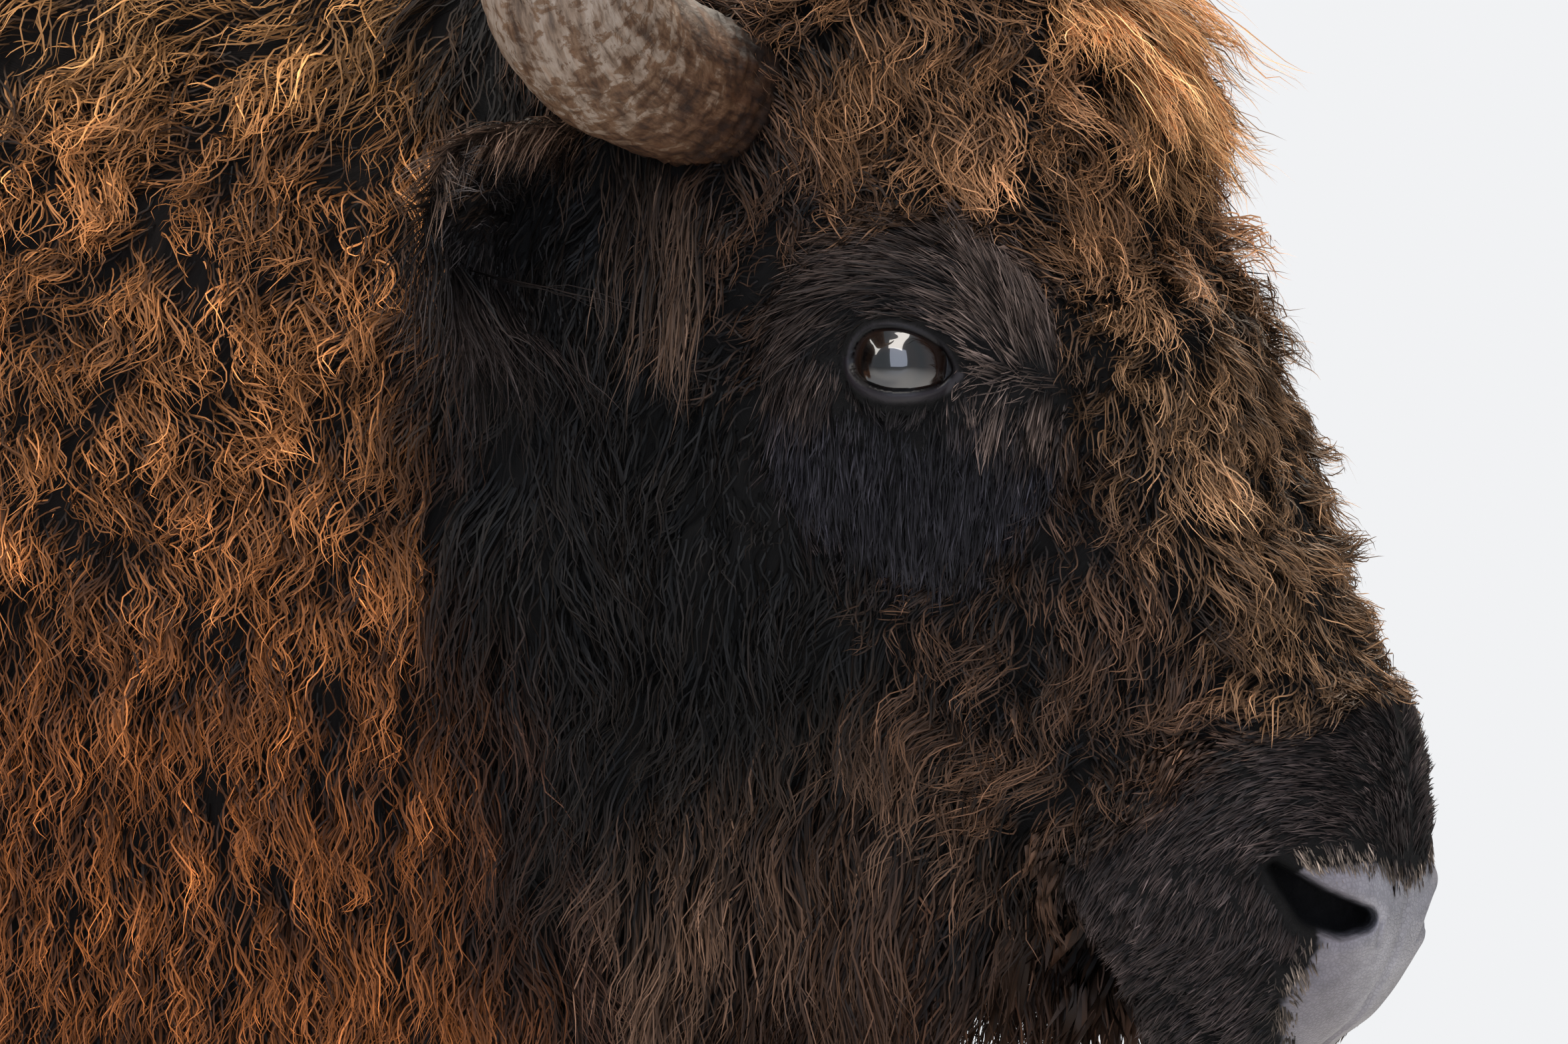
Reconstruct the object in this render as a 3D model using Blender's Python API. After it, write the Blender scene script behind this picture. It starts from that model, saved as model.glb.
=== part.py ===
"""A European bison bull in winter coat, standing, at life size.

World frame: +X is the way the bull faces, +Y is its left, +Z is up, and the hooves stand on Z = 0.
Every solid runs out to the tips of the coat.  The flesh is modelled whole, from lofts and ovals that
are melted into one surface, and is then parted into named pieces by thin cuts.
Lengths are in metres.
"""

from math import cos, pi, radians, sin

import bmesh
import bpy
import numpy as np
from mathutils import Matrix, Vector

# ---- Driving dimensions
GAP = 0.0003  # clearance between neighbouring pieces
HUMP_HEIGHT = 1.82  # floor to the top of the hump, coat included
FORE_FOOT_X = 0.50  # fore hooves, ahead of the frame's first origin
HIND_FOOT_X = -0.90
FOOT_Y = 0.168  # half the distance between left and right hooves
HOOF_HEIGHT = 0.074

POLL = Vector((1.184, 0.0, 1.496))  # top of the bare forehead, between the horns
FACE_SLOPE = radians(62)  # forehead and nose line, below the horizontal
EYE_RADIUS = 0.022
HORN_LENGTH_STEPS = 13

# How far each foot is set forward (+) or back (-) from a square stance.
STEP = {
    ("fore", "right"): -0.06,
    ("fore", "left"): 0.07,
    ("hind", "right"): 0.09,
    ("hind", "left"): -0.06,
}
SIDES = {"right": -1, "left": 1}

# ---- Mesh fineness
MELT_VOXEL = 0.011
MELT_SMOOTHING = 9
FLESH_TRIANGLES = 1350
HEAD_SHARE = 1.3  # how much harder the head resists thinning than the body does
RING_POINTS = 28
RING_SPACING = 0.03

# ---- Finishes: colour, roughness
FINISHES = {
    "brown_coat": ((0.150, 0.075, 0.034), 0.85),
    "dark_coat": ((0.045, 0.028, 0.020), 0.85),
    "horn_sheath": ((0.200, 0.170, 0.140), 0.55),
    "hoof_horn": ((0.035, 0.030, 0.028), 0.45),
    "eye_glossy": ((0.020, 0.012, 0.010), 0.08),
}

# ---- Trunk and neck, rump to nape
# x, back, belly, half width, height of the widest place, roundness of the back and of the belly
TRUNK = (
    (-1.145, 1.37, 1.20, 0.05, 1.30, 2.0, 2.0),
    (-1.12, 1.43, 1.10, 0.13, 1.29, 2.0, 2.0),
    (-1.05, 1.495, 0.99, 0.215, 1.27, 2.1, 2.0),
    (-0.92, 1.550, 0.92, 0.270, 1.26, 2.2, 2.0),
    (-0.75, 1.580, 0.87, 0.295, 1.25, 2.2, 2.1),
    (-0.55, 1.575, 0.83, 0.305, 1.20, 2.1, 2.2),
    (-0.30, 1.575, 0.77, 0.335, 1.13, 2.0, 2.2),
    (-0.05, 1.625, 0.72, 0.365, 1.10, 1.9, 2.2),
    (0.18, 1.715, 0.69, 0.372, 1.12, 1.8, 2.2),
    (0.38, HUMP_HEIGHT - 0.015, 0.67, 0.360, 1.15, 1.75, 2.1),
    (0.52, HUMP_HEIGHT, 0.65, 0.340, 1.17, 1.75, 2.0),
    (0.66, 1.790, 0.65, 0.312, 1.19, 1.8, 1.9),
    (0.80, 1.725, 0.69, 0.280, 1.20, 1.9, 1.9),
    (0.93, 1.660, 0.79, 0.250, 1.23, 2.0, 1.9),
    (1.04, 1.600, 0.92, 0.212, 1.29, 2.0, 2.0),
    (1.13, 1.550, 1.06, 0.160, 1.34, 2.0, 2.0),
    (1.19, 1.480, 1.20, 0.080, 1.36, 2.0, 2.0),
)

# ---- Head, poll to lips, in its own frame: u runs down the face, v out of it, w to the left
# u, front, throat, level of the widest place, half width, roundness of front and throat
HEAD = (
    (-0.075, 0.000, -0.130, -0.060, 0.050, 2.0, 2.0),
    (-0.055, 0.045, -0.175, -0.065, 0.095, 2.0, 2.0),
    (-0.020, 0.080, -0.220, -0.075, 0.130, 2.0, 2.0),
    (0.030, 0.100, -0.250, -0.080, 0.146, 2.1, 2.1),
    (0.080, 0.107, -0.262, -0.075, 0.152, 2.2, 2.2),
    (0.130, 0.098, -0.268, -0.070, 0.151, 2.2, 2.3),
    (0.180, 0.073, -0.268, -0.070, 0.146, 2.2, 2.3),
    (0.240, 0.054, -0.258, -0.090, 0.132, 2.2, 2.3),
    (0.300, 0.046, -0.236, -0.090, 0.113, 2.2, 2.3),
    (0.360, 0.045, -0.206, -0.080, 0.092, 2.2, 2.3),
    (0.400, 0.041, -0.184, -0.070, 0.079, 2.3, 2.3),
    (0.430, 0.028, -0.168, -0.062, 0.073, 2.4, 2.3),
    (0.465, 0.014, -0.158, -0.062, 0.074, 2.5, 2.3),
    (0.496, -0.004, -0.154, -0.065, 0.068, 2.5, 2.3),
    (0.518, -0.026, -0.146, -0.074, 0.055, 2.3, 2.2),
    (0.532, -0.052, -0.124, -0.084, 0.030, 2.0, 2.0),
)
MOUTH_LIP = (0.528, -0.094)  # (u, v) of the parting of the lips at the front
MOUTH_CORNER = (0.405, -0.118)

# ---- Legs, top to pastern: height, x, distance from the middle plane, half length, half width
FORELEG = (
    (1.02, 0.00, 0.200, 0.190, 0.120),
    (0.88, -0.01, 0.195, 0.148, 0.108),
    (0.76, -0.015, 0.185, 0.106, 0.086),
    (0.64, -0.010, 0.176, 0.080, 0.069),
    (0.54, 0.000, 0.170, 0.067, 0.059),
    (0.47, 0.007, FOOT_Y, 0.067, 0.061),
    (0.41, 0.003, FOOT_Y, 0.055, 0.051),
    (0.32, -0.002, FOOT_Y, 0.044, 0.041),
    (0.24, -0.003, FOOT_Y, 0.045, 0.042),
    (0.175, 0.000, FOOT_Y, 0.056, 0.052),
    (0.125, 0.014, FOOT_Y, 0.052, 0.049),
    (0.080, 0.028, FOOT_Y, 0.060, 0.055),
    (0.040, 0.036, FOOT_Y, 0.062, 0.056),
)
HINDLEG = (
    (1.24, 0.070, 0.160, 0.200, 0.120),
    (1.08, 0.085, 0.186, 0.222, 0.124),
    (0.94, 0.100, 0.190, 0.196, 0.112),
    (0.81, 0.095, 0.186, 0.145, 0.093),
    (0.71, 0.060, 0.179, 0.102, 0.072),
    (0.62, 0.010, 0.172, 0.080, 0.060),
    (0.55, -0.024, FOOT_Y, 0.073, 0.057),
    (0.47, -0.028, FOOT_Y, 0.059, 0.049),
    (0.37, -0.020, FOOT_Y, 0.047, 0.042),
    (0.26, -0.012, FOOT_Y, 0.045, 0.041),
    (0.180, -0.006, FOOT_Y, 0.055, 0.050),
    (0.125, 0.012, FOOT_Y, 0.050, 0.047),
    (0.080, 0.028, FOOT_Y, 0.058, 0.053),
    (0.040, 0.036, FOOT_Y, 0.060, 0.055),
)
LEG_ROOM = 1.1  # a step is taken up over this height, from the floor
KNEE_HEIGHT, HOCK_HEIGHT = 0.475, 0.545

# ---- Tail: height, x, half length, half width
TAIL = (
    (1.445, -1.090, 0.035, 0.032),
    (1.405, -1.150, 0.036, 0.034),
    (1.330, -1.182, 0.033, 0.031),
    (1.200, -1.194, 0.029, 0.028),
    (1.020, -1.192, 0.029, 0.029),
    (0.880, -1.188, 0.036, 0.036),
    (0.740, -1.184, 0.045, 0.044),
    (0.620, -1.180, 0.040, 0.038),
    (0.530, -1.176, 0.020, 0.019),
)
TUFT_TOP = 0.93


# ---- Eyes, in the head's u, v, w
EYE_PLACE = (0.190, -0.060, 0.1300)

# ---- Left horn: x, y, z, radius
HORN = (
    (1.122, 0.085, 1.413, 0.0330),
    (1.120, 0.125, 1.420, 0.0350),
    (1.116, 0.172, 1.430, 0.0370),
    (1.114, 0.218, 1.445, 0.0385),
    (1.122, 0.262, 1.472, 0.0368),
    (1.142, 0.290, 1.517, 0.0320),
    (1.168, 0.298, 1.575, 0.0250),
    (1.193, 0.283, 1.630, 0.0160),
    (1.210, 0.258, 1.672, 0.0045),
)

# ---- Left ear
EAR_ROOT = Vector((1.062, 0.122, 1.366))
EAR_TIP = Vector((1.056, 0.262, 1.370))
EAR_FACING = Vector((0.80, 0.42, -0.25))
EAR_HALF_SIZES = (0.078, 0.042, 0.026)
EAR_FRINGE = Vector((1.052, 0.200, 1.300))
EAR_FRINGE_HALF_SIZES = (0.018, 0.052, 0.062)

# ---- Where the flesh is parted
BEARD_TOP = 1.015
JAW_BACK = (0.200, -0.176)  # (u, v) where the cut along the jaw begins
JAW_BLOCK_SIZE = (0.42, 0.60, 0.22)
NAPE_CUT_TOP, NAPE_CUT_FOOT = (1.005, 0, 1.514), (1.074, 0, 1.064)
NECK_CUT_TOP, NECK_CUT_FOOT = (0.730, 0, 1.76), (0.840, 0, 0.70)
TAIL_FRONT = -1.156
DEWCLAW_BACK = 0.034
# height, x, distance from the middle plane, half length, half width
FORE_CUT = (
    (1.020, -0.01, 0.215, 0.045, 0.040),
    (0.985, -0.01, 0.215, 0.105, 0.090),
    (0.900, -0.01, 0.213, 0.160, 0.135),
    (0.740, -0.01, 0.205, 0.155, 0.140),
    (KNEE_HEIGHT, 0.00, 0.190, 0.145, 0.130),
)
HIND_CUT = (
    (1.190, 0.085, 0.215, 0.060, 0.050),
    (1.150, 0.085, 0.215, 0.130, 0.100),
    (1.040, 0.090, 0.213, 0.205, 0.140),
    (0.880, 0.090, 0.208, 0.215, 0.145),
    (0.720, 0.050, 0.200, 0.175, 0.140),
    (HOCK_HEIGHT, -0.02, 0.190, 0.140, 0.130),
)
LEG_CUTS = {"fore": (FORE_FOOT_X, FORE_CUT), "hind": (HIND_FOOT_X, HIND_CUT)}
DARK_PIECES = ("head", "lower_jaw", "beard", "tail_tuft")


# ---------------------------------------------------------------- helpers


def clear_scene():
    for obj in list(bpy.data.objects):
        bpy.data.objects.remove(obj, do_unlink=True)


def add_object(name, mesh):
    obj = bpy.data.objects.new(name, mesh)
    bpy.context.scene.collection.objects.link(obj)
    return obj


def object_from(name, bm):
    """A new object holding this bmesh, with its faces turned outwards."""
    bmesh.ops.recalc_face_normals(bm, faces=bm.faces)
    mesh = bpy.data.meshes.new(name)
    bm.to_mesh(mesh)
    bm.free()
    return add_object(name, mesh)


def baked(obj):
    """Applies the object's modifiers to its own mesh."""
    graph = bpy.context.evaluated_depsgraph_get()
    mesh = bpy.data.meshes.new_from_object(obj.evaluated_get(graph))
    obj.modifiers.clear()
    obj.data = mesh
    return obj


def copy_of(obj, name):
    return add_object(name, obj.data.copy())


def remove(*objects):
    for obj in objects:
        bpy.data.objects.remove(obj, do_unlink=True)


def boolean(obj, other, operation):
    modifier = obj.modifiers.new(operation.title(), "BOOLEAN")
    modifier.operation = operation
    modifier.solver = "EXACT"
    modifier.object = other
    return baked(obj)


def swelled(obj, grow=GAP):
    """The object with every face moved outwards by the same distance."""
    bm = bmesh.new()
    bm.from_mesh(obj.data)
    bm.normal_update()
    moves = [vert.normal * grow * vert.calc_shell_factor() for vert in bm.verts]
    for vert, move in zip(bm.verts, moves):
        vert.co += move
    bm.to_mesh(obj.data)
    bm.free()
    return obj


def smooth_rows(rows, spacing):
    """Rows of numbers, the first the place along the form, filled in on a smooth curve."""
    rows = np.array(rows, float)
    place = rows[:, 0]
    slopes = np.gradient(rows, place, axis=0)
    filled = []
    for i in range(len(rows) - 1):
        run = place[i + 1] - place[i]
        steps = max(2, round(abs(run) / spacing))
        for k in range(steps):
            t = k / steps
            hermite = (
                (2 * t**3 - 3 * t**2 + 1) * rows[i]
                + (t**3 - 2 * t**2 + t) * run * slopes[i]
                + (3 * t**2 - 2 * t**3) * rows[i + 1]
                + (t**3 - t**2) * run * slopes[i + 1]
            )
            filled.append(hermite.tolist())
    filled.append(rows[-1].tolist())
    return filled


def squircle(angle, roundness):
    """A point on a unit oval: roundness 2 is an ellipse, and more is squarer."""
    power = 2 / roundness
    c, s = cos(angle), sin(angle)
    across = abs(c) ** power * (1 if c > 0 else -1)
    up = abs(s) ** power * (1 if s > 0 else -1)
    return across, up


def loft(name, rings):
    """Bridges closed rings of points, each the same number long, and fills both ends."""
    bm = bmesh.new()
    loops = []
    for ring in rings:
        circle = bmesh.ops.create_circle(bm, segments=len(ring), radius=1)["verts"]
        for vert, point in zip(circle, ring):
            vert.co = point
        loops.append(list({edge for vert in circle for edge in vert.link_edges}))
    for near, far in zip(loops, loops[1:]):
        bmesh.ops.bridge_loops(bm, edges=near + far)
    bmesh.ops.holes_fill(bm, edges=bm.edges, sides=0)
    bmesh.ops.triangulate(bm, faces=bm.faces)
    return object_from(name, bm)


def egg(name, centre, radii, turn=None, segments=24):
    """An oval body: radii along its own X, Y and Z."""
    bm = bmesh.new()
    place = Matrix.Translation(centre) @ (turn or Matrix.Identity(4))
    bmesh.ops.create_uvsphere(
        bm,
        u_segments=segments,
        v_segments=segments * 2 // 3,
        radius=1,
        matrix=place @ Matrix.Diagonal((*radii, 1)),
    )
    bmesh.ops.triangulate(bm, faces=bm.faces)
    return object_from(name, bm)


def in_head(u, v, w=0.0):
    """World place of a point given in the head's frame."""
    down = Vector((cos(FACE_SLOPE), 0, -sin(FACE_SLOPE)))
    out = Vector((sin(FACE_SLOPE), 0, cos(FACE_SLOPE)))
    return POLL + u * down + v * out + Vector((0, w, 0))


def head_turn():
    """Turns an oval's X, Y, Z to the head's u, w, v."""
    return Matrix.Rotation(FACE_SLOPE, 4, "Y")


# ---------------------------------------------------------------- flesh forms


def trunk_form():
    rings = []
    for x, back, belly, wide, level, n_back, n_belly in smooth_rows(TRUNK, RING_SPACING):
        ring = []
        for k in range(RING_POINTS):
            angle = 2 * pi * k / RING_POINTS
            upper = sin(angle) >= 0
            across, up = squircle(angle, n_back if upper else n_belly)
            height = (back - level) if upper else (level - belly)
            ring.append(Vector((x, across * wide, level + up * height)))
        rings.append(ring)
    return loft("trunk_form", rings)


def head_form():
    rings = []
    for u, front, throat, level, wide, n_front, n_throat in smooth_rows(HEAD, 0.015):
        ring = []
        for k in range(RING_POINTS):
            angle = 2 * pi * k / RING_POINTS
            outer = sin(angle) >= 0
            across, out = squircle(angle, n_front if outer else n_throat)
            depth = (front - level) if outer else (level - throat)
            ring.append(in_head(u, level + out * depth, across * wide))
        rings.append(ring)
    return loft("head_form", rings)


def leg_form(rows, foot_x, side, step, points=RING_POINTS, spacing=RING_SPACING):
    rings = []
    for height, x, y, half_length, half_width in smooth_rows(rows[::-1], spacing):
        lean = step * max(0.0, 1 - height / LEG_ROOM)
        middle = Vector((foot_x + x + lean, side * y, height))
        ring = []
        for k in range(points):
            angle = 2 * pi * k / points
            across, along = squircle(angle, 2.2)
            ring.append(middle + Vector((along * half_length, across * half_width, 0)))
        rings.append(ring)
    return loft("leg_form", rings)


def tail_form():
    rings = []
    for height, x, half_length, half_width in smooth_rows(TAIL[::-1], RING_SPACING):
        ring = []
        for k in range(RING_POINTS):
            angle = 2 * pi * k / RING_POINTS
            spot = (x + half_length * sin(angle), half_width * cos(angle), height)
            ring.append(Vector(spot))
        rings.append(ring)
    return loft("tail_form", rings)


def head_swellings():
    """Brows, cheeks, nostril wings, chin and beard, which stand out of the plain head."""
    forms = [
        egg("chin", in_head(0.480, -0.130), (0.042, 0.050, 0.032), head_turn()),
        egg("mop", in_head(0.045, 0.028), (0.105, 0.140, 0.074), head_turn()),
        egg("beard_root", in_head(0.300, -0.225), (0.150, 0.075, 0.060), head_turn()),
        egg("beard_tip", Vector((1.165, 0, 0.985)), (0.070, 0.052, 0.120)),
    ]
    for side in SIDES.values():
        forms += [
            egg("brow", in_head(0.165, -0.035, side * 0.098), (0.075, 0.050, 0.055), head_turn()),
            egg("cheek", in_head(0.215, -0.170, side * 0.085), (0.110, 0.052, 0.085), head_turn()),
            egg("nostril", in_head(0.466, -0.034, side * 0.040), (0.036, 0.036, 0.032), head_turn()),
        ]
    return forms


def body_swellings():
    """Shoulder blades, thighs and the brisket mane."""
    forms = [egg("brisket", Vector((0.62, 0, 0.88)), (0.28, 0.17, 0.24))]
    for side in SIDES.values():
        forms += [
            egg("shoulder", Vector((0.47, side * 0.215, 1.16)), (0.21, 0.155, 0.33)),
            egg("thigh", Vector((-0.82, side * 0.165, 1.14)), (0.25, 0.140, 0.27)),
        ]
    return forms


def melted_flesh():
    """All the forms as one surface, fine on the head and coarser on the body."""
    forms = [trunk_form(), head_form(), tail_form()] + head_swellings() + body_swellings()
    for side_name, side in SIDES.items():
        forms.append(leg_form(FORELEG, FORE_FOOT_X, side, STEP["fore", side_name]))
        forms.append(leg_form(HINDLEG, HIND_FOOT_X, side, STEP["hind", side_name]))
    bm = bmesh.new()
    for form in forms:
        bm.from_mesh(form.data)
    remove(*forms)
    flesh = object_from("flesh", bm)
    melt = flesh.modifiers.new("Melt", "REMESH")
    melt.mode = "VOXEL"
    melt.voxel_size = MELT_VOXEL
    relax = flesh.modifiers.new("Relax", "SMOOTH")
    relax.iterations = MELT_SMOOTHING
    baked(flesh)
    return thinned(flesh, FLESH_TRIANGLES)


def thinned(flesh, triangles):
    """Fewer triangles, with the head kept finer than the rest."""
    group = flesh.vertex_groups.new(name="thin")
    for vert in flesh.data.vertices:
        ahead = (vert.co.x - 0.95) / 0.15
        below = (0.70 - vert.co.z) / 0.15
        fineness = min(1.0, max(0.0, ahead, 0.75 * below))
        group.add([vert.index], 1 - fineness * 0.75, "REPLACE")
    modifier = flesh.modifiers.new("Thin", "DECIMATE")
    modifier.vertex_group = group.name
    modifier.vertex_group_factor = HEAD_SHARE
    modifier.ratio = triangles / (2 * len(flesh.data.polygons))
    return baked(flesh)


# ---------------------------------------------------------------- horns, ears, eyes, hooves


def along_curve(rows, steps):
    """Points and radii on a smooth curve through rows of x, y, z, radius."""
    numbered = [(k, *row) for k, row in enumerate(rows)]
    spacing = (len(rows) - 1) / steps
    return [(Vector(row[1:4]), row[4]) for row in smooth_rows(numbered, spacing)]


def horn_form(name, side):
    path = along_curve(HORN, HORN_LENGTH_STEPS)
    rings = []
    for k, (middle, radius) in enumerate(path):
        ahead = path[min(k + 1, len(path) - 1)][0] - path[max(k - 1, 0)][0]
        across = ahead.cross(Vector((1, 0, 0))).normalized()
        other = ahead.cross(across).normalized()
        ring = []
        for j in range(12):
            angle = 2 * pi * j / 12
            spot = middle + radius * (cos(angle) * across + sin(angle) * other)
            ring.append(Vector((spot.x, side * spot.y, spot.z)))
        rings.append(ring)
    return loft(name, rings)


def ear_turn(side):
    """Lays an oval's X along the ear, root to tip, with its Z out of the cup of the ear."""
    along = (EAR_TIP - EAR_ROOT).normalized()
    out = (EAR_FACING - EAR_FACING.dot(along) * along).normalized()
    across = out.cross(along)
    flip = Matrix.Diagonal((1, side, 1, 1))
    axes = Matrix((along, across, out)).transposed().to_4x4()
    return flip @ axes


def ear_form(name, side, cupped=True):
    """A cupped leaf with its long hair hanging from the lower rim."""
    turn = ear_turn(side)
    middle = (EAR_ROOT + EAR_TIP) / 2
    middle = Vector((middle.x, side * middle.y, middle.z))
    length, width, depth = EAR_HALF_SIZES
    leaf = egg(name, middle, EAR_HALF_SIZES, turn, 14)
    fringe = Vector((EAR_FRINGE.x, side * EAR_FRINGE.y, EAR_FRINGE.z))
    hair = egg("fringe", fringe, EAR_FRINGE_HALF_SIZES, None, 10)
    boolean(leaf, hair, "UNION")
    remove(hair)
    if cupped:
        out = (turn @ Vector((0, 0, 1, 0))).to_3d()
        cup_size = (length * 0.86, width * 0.78, depth * 1.05)
        hollow(leaf, egg("cup", middle + out * depth * 0.95, cup_size, turn, 12))
    return leaf


def eye_place(side):
    return in_head(EYE_PLACE[0], EYE_PLACE[1], side * EYE_PLACE[2])


def eye_form(name, side):
    return egg(name, eye_place(side), [EYE_RADIUS] * 3, None, 12)


def lid_opening(side):
    place = eye_place(side) + Vector((0.002, side * 0.022, 0))
    return egg("lids", place, (0.027, 0.020, 0.0185), Matrix.Rotation(radians(8), 4, "Y"), 14)


def nostril_opening(side):
    return egg("nostril", in_head(0.474, -0.030, side * 0.060), (0.008, 0.016, 0.020), head_turn(), 10)


def claw_form(name, foot, outwards):
    """One half of a cloven hoof, flat on the floor, with its toe wall leaning back."""
    rings = []
    for k in range(4):
        up = k / 3
        height = up * (HOOF_HEIGHT - GAP)
        half_length = 0.061 - 0.015 * up - 0.004 * up**2
        half_width = 0.0262 - 0.0012 * up
        toe_lean = -0.030 * up
        ring = []
        for j in range(14):
            angle = 2 * pi * j / 14
            across, along = squircle(angle, 2.6)
            taper = 1 - 0.28 * max(0.0, along)
            spot = (
                foot.x + 0.052 + toe_lean * 0.9 + along * half_length - 0.012,
                foot.y + outwards * 0.0272 + across * half_width * taper,
                height,
            )
            ring.append(Vector(spot))
        rings.append(ring)
    return loft(name, rings)


def dewclaw_form(name, foot, outwards):
    place = Vector((foot.x - DEWCLAW_BACK, foot.y + outwards * 0.030, 0.138))
    lean = Matrix.Rotation(radians(-28), 4, "Y")
    return egg(name, place, (0.013, 0.0115, 0.024), lean, 8)


# ---------------------------------------------------------------- parting the flesh


def block(low, high):
    middle = (Vector(low) + Vector(high)) / 2
    size = Vector(high) - Vector(low)
    bm = bmesh.new()
    bmesh.ops.create_cube(bm, size=1, matrix=Matrix.Translation(middle) @ Matrix.Diagonal((*size, 1)))
    return object_from("block", bm)


def carve(rest, name, cutter):
    """Takes the piece inside the cutter out of the rest, leaving the gap between the two."""
    piece = boolean(copy_of(rest, name), cutter, "INTERSECT")
    hollow(rest, swelled(cutter))
    return piece


def hollow(rest, *forms):
    for form in forms:
        boolean(rest, form, "DIFFERENCE")
    remove(*forms)


def largest_body(obj):
    """Drops the crumbs a cut may leave, and keeps the one large body."""
    bm = bmesh.new()
    bm.from_mesh(obj.data)
    bmesh.ops.remove_doubles(bm, verts=bm.verts, dist=1e-5)
    bmesh.ops.dissolve_degenerate(bm, edges=bm.edges, dist=2e-5)
    unseen = set(bm.verts)
    bodies = []
    while unseen:
        body = []
        front = [unseen.pop()]
        while front:
            vert = front.pop()
            body.append(vert)
            for edge in vert.link_edges:
                other = edge.other_vert(vert)
                if other in unseen:
                    unseen.remove(other)
                    front.append(other)
        bodies.append(body)
    bodies.sort(key=len, reverse=True)
    for crumbs in bodies[1:]:
        bmesh.ops.delete(bm, geom=crumbs, context="VERTS")
    bm.to_mesh(obj.data)
    bm.free()
    return obj


def part_head(flesh):
    """Head, jaw, beard and neck out of the whole."""
    head = carve(flesh, "head", slanted_block(NAPE_CUT_TOP, NAPE_CUT_FOOT, 0.8))
    beard = carve(head, "beard", block((1.05, -0.2, 0.70), (1.252, 0.2, BEARD_TOP)))
    jaw = carve(head, "lower_jaw", jaw_block())
    neck = carve(flesh, "neck", slanted_block(NECK_CUT_TOP, NECK_CUT_FOOT, 0.9))
    return head, jaw, beard, neck


def jaw_block():
    """A block below the line of the mouth, with that line in its upper face."""
    run = Vector(MOUTH_LIP) - Vector(MOUTH_CORNER)
    turn = Matrix.Rotation(FACE_SLOPE - run.angle_signed(Vector((1, 0))), 4, "Y")
    length, width, depth = JAW_BLOCK_SIZE
    middle = in_head(*JAW_BACK) + turn @ Vector((length / 2, 0, -depth / 2))
    bm = bmesh.new()
    size = Matrix.Diagonal((length, width, depth, 1))
    bmesh.ops.create_cube(bm, size=1, matrix=Matrix.Translation(middle) @ turn @ size)
    return object_from("jaw_cut", bm)


def slanted_block(top, foot, depth):
    """A tall block whose rear face passes through two points of the middle plane."""
    top, foot = Vector(top), Vector(foot)
    fall = (foot - top).normalized()
    ahead = Vector((-fall.z, 0, fall.x))
    middle = (top + foot) / 2 + ahead * depth / 2
    turn = Matrix((ahead, Vector((0, 1, 0)), -fall)).transposed().to_4x4()
    size = (depth, 1.4, (foot - top).length + 1.2, 1)
    bm = bmesh.new()
    bmesh.ops.create_cube(bm, size=1, matrix=Matrix.Translation(middle) @ turn @ Matrix.Diagonal(size))
    return object_from("slanted_cut", bm)


def part_leg(flesh, pair, side_name):
    """One leg's upper and lower pieces, hooves and dewclaws."""
    foot_x, rows = LEG_CUTS[pair]
    side = SIDES[side_name]
    step = STEP[pair, side_name]
    foot = Vector((foot_x + step, side * FOOT_Y, 0))
    name = f"{pair}leg_{side_name}"
    hooves = []
    for claw_name, outwards in (("outer", side), ("inner", -side)):
        hooves.append(claw_form(f"{name}_{claw_name}_hoof", foot, outwards))
        hooves.append(dewclaw_form(f"{name}_{claw_name}_dewclaw", foot, outwards))
        hollow(flesh, swelled(dewclaw_form("socket", foot, outwards)))
    room_behind, room_ahead = Vector((0.25, 0.13, 0)), Vector((0.30, 0.13, 0))
    floor = Vector((0, 0, -0.1))
    coronet = Vector((0, 0, HOOF_HEIGHT))
    joint = Vector((0, 0, rows[-1][0]))
    hollow(flesh, block(foot - room_behind + floor, foot + room_ahead + coronet))
    lower = carve(flesh, f"{name}_lower", block(foot - room_behind, foot + room_ahead + joint))
    upper = carve(flesh, f"{name}_upper", leg_form(rows, foot_x, side, step, points=14, spacing=0.12))
    return [upper, lower], hooves


def part_tail(flesh):
    tuft = carve(flesh, "tail_tuft", block((-1.40, -0.08, 0.30), (-1.05, 0.08, TUFT_TOP)))
    tail = carve(flesh, "tail", block((-1.40, -0.08, TUFT_TOP - 0.02), (TAIL_FRONT, 0.08, 1.60)))
    return [tail, tuft]


def finish(obj, finish_name):
    colour, roughness = FINISHES[finish_name]
    material = bpy.data.materials.get(finish_name)
    if material is None:
        material = bpy.data.materials.new(finish_name)
        material.use_nodes = True
        shader = material.node_tree.nodes["Principled BSDF"]
        shader.inputs["Base Color"].default_value = (*colour, 1)
        shader.inputs["Roughness"].default_value = roughness
    obj.data.materials.clear()
    obj.data.materials.append(material)


def centre_on_floor(objects):
    """Moves the whole so that the middle of its bounds stands over the frame's origin."""
    spots = np.array([tuple(v.co) for obj in objects for v in obj.data.vertices])
    low, high = spots.min(axis=0), spots.max(axis=0)
    shift = Vector((-(low[0] + high[0]) / 2, -(low[1] + high[1]) / 2, -low[2]))
    for obj in objects:
        obj.data.transform(Matrix.Translation(shift))


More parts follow.
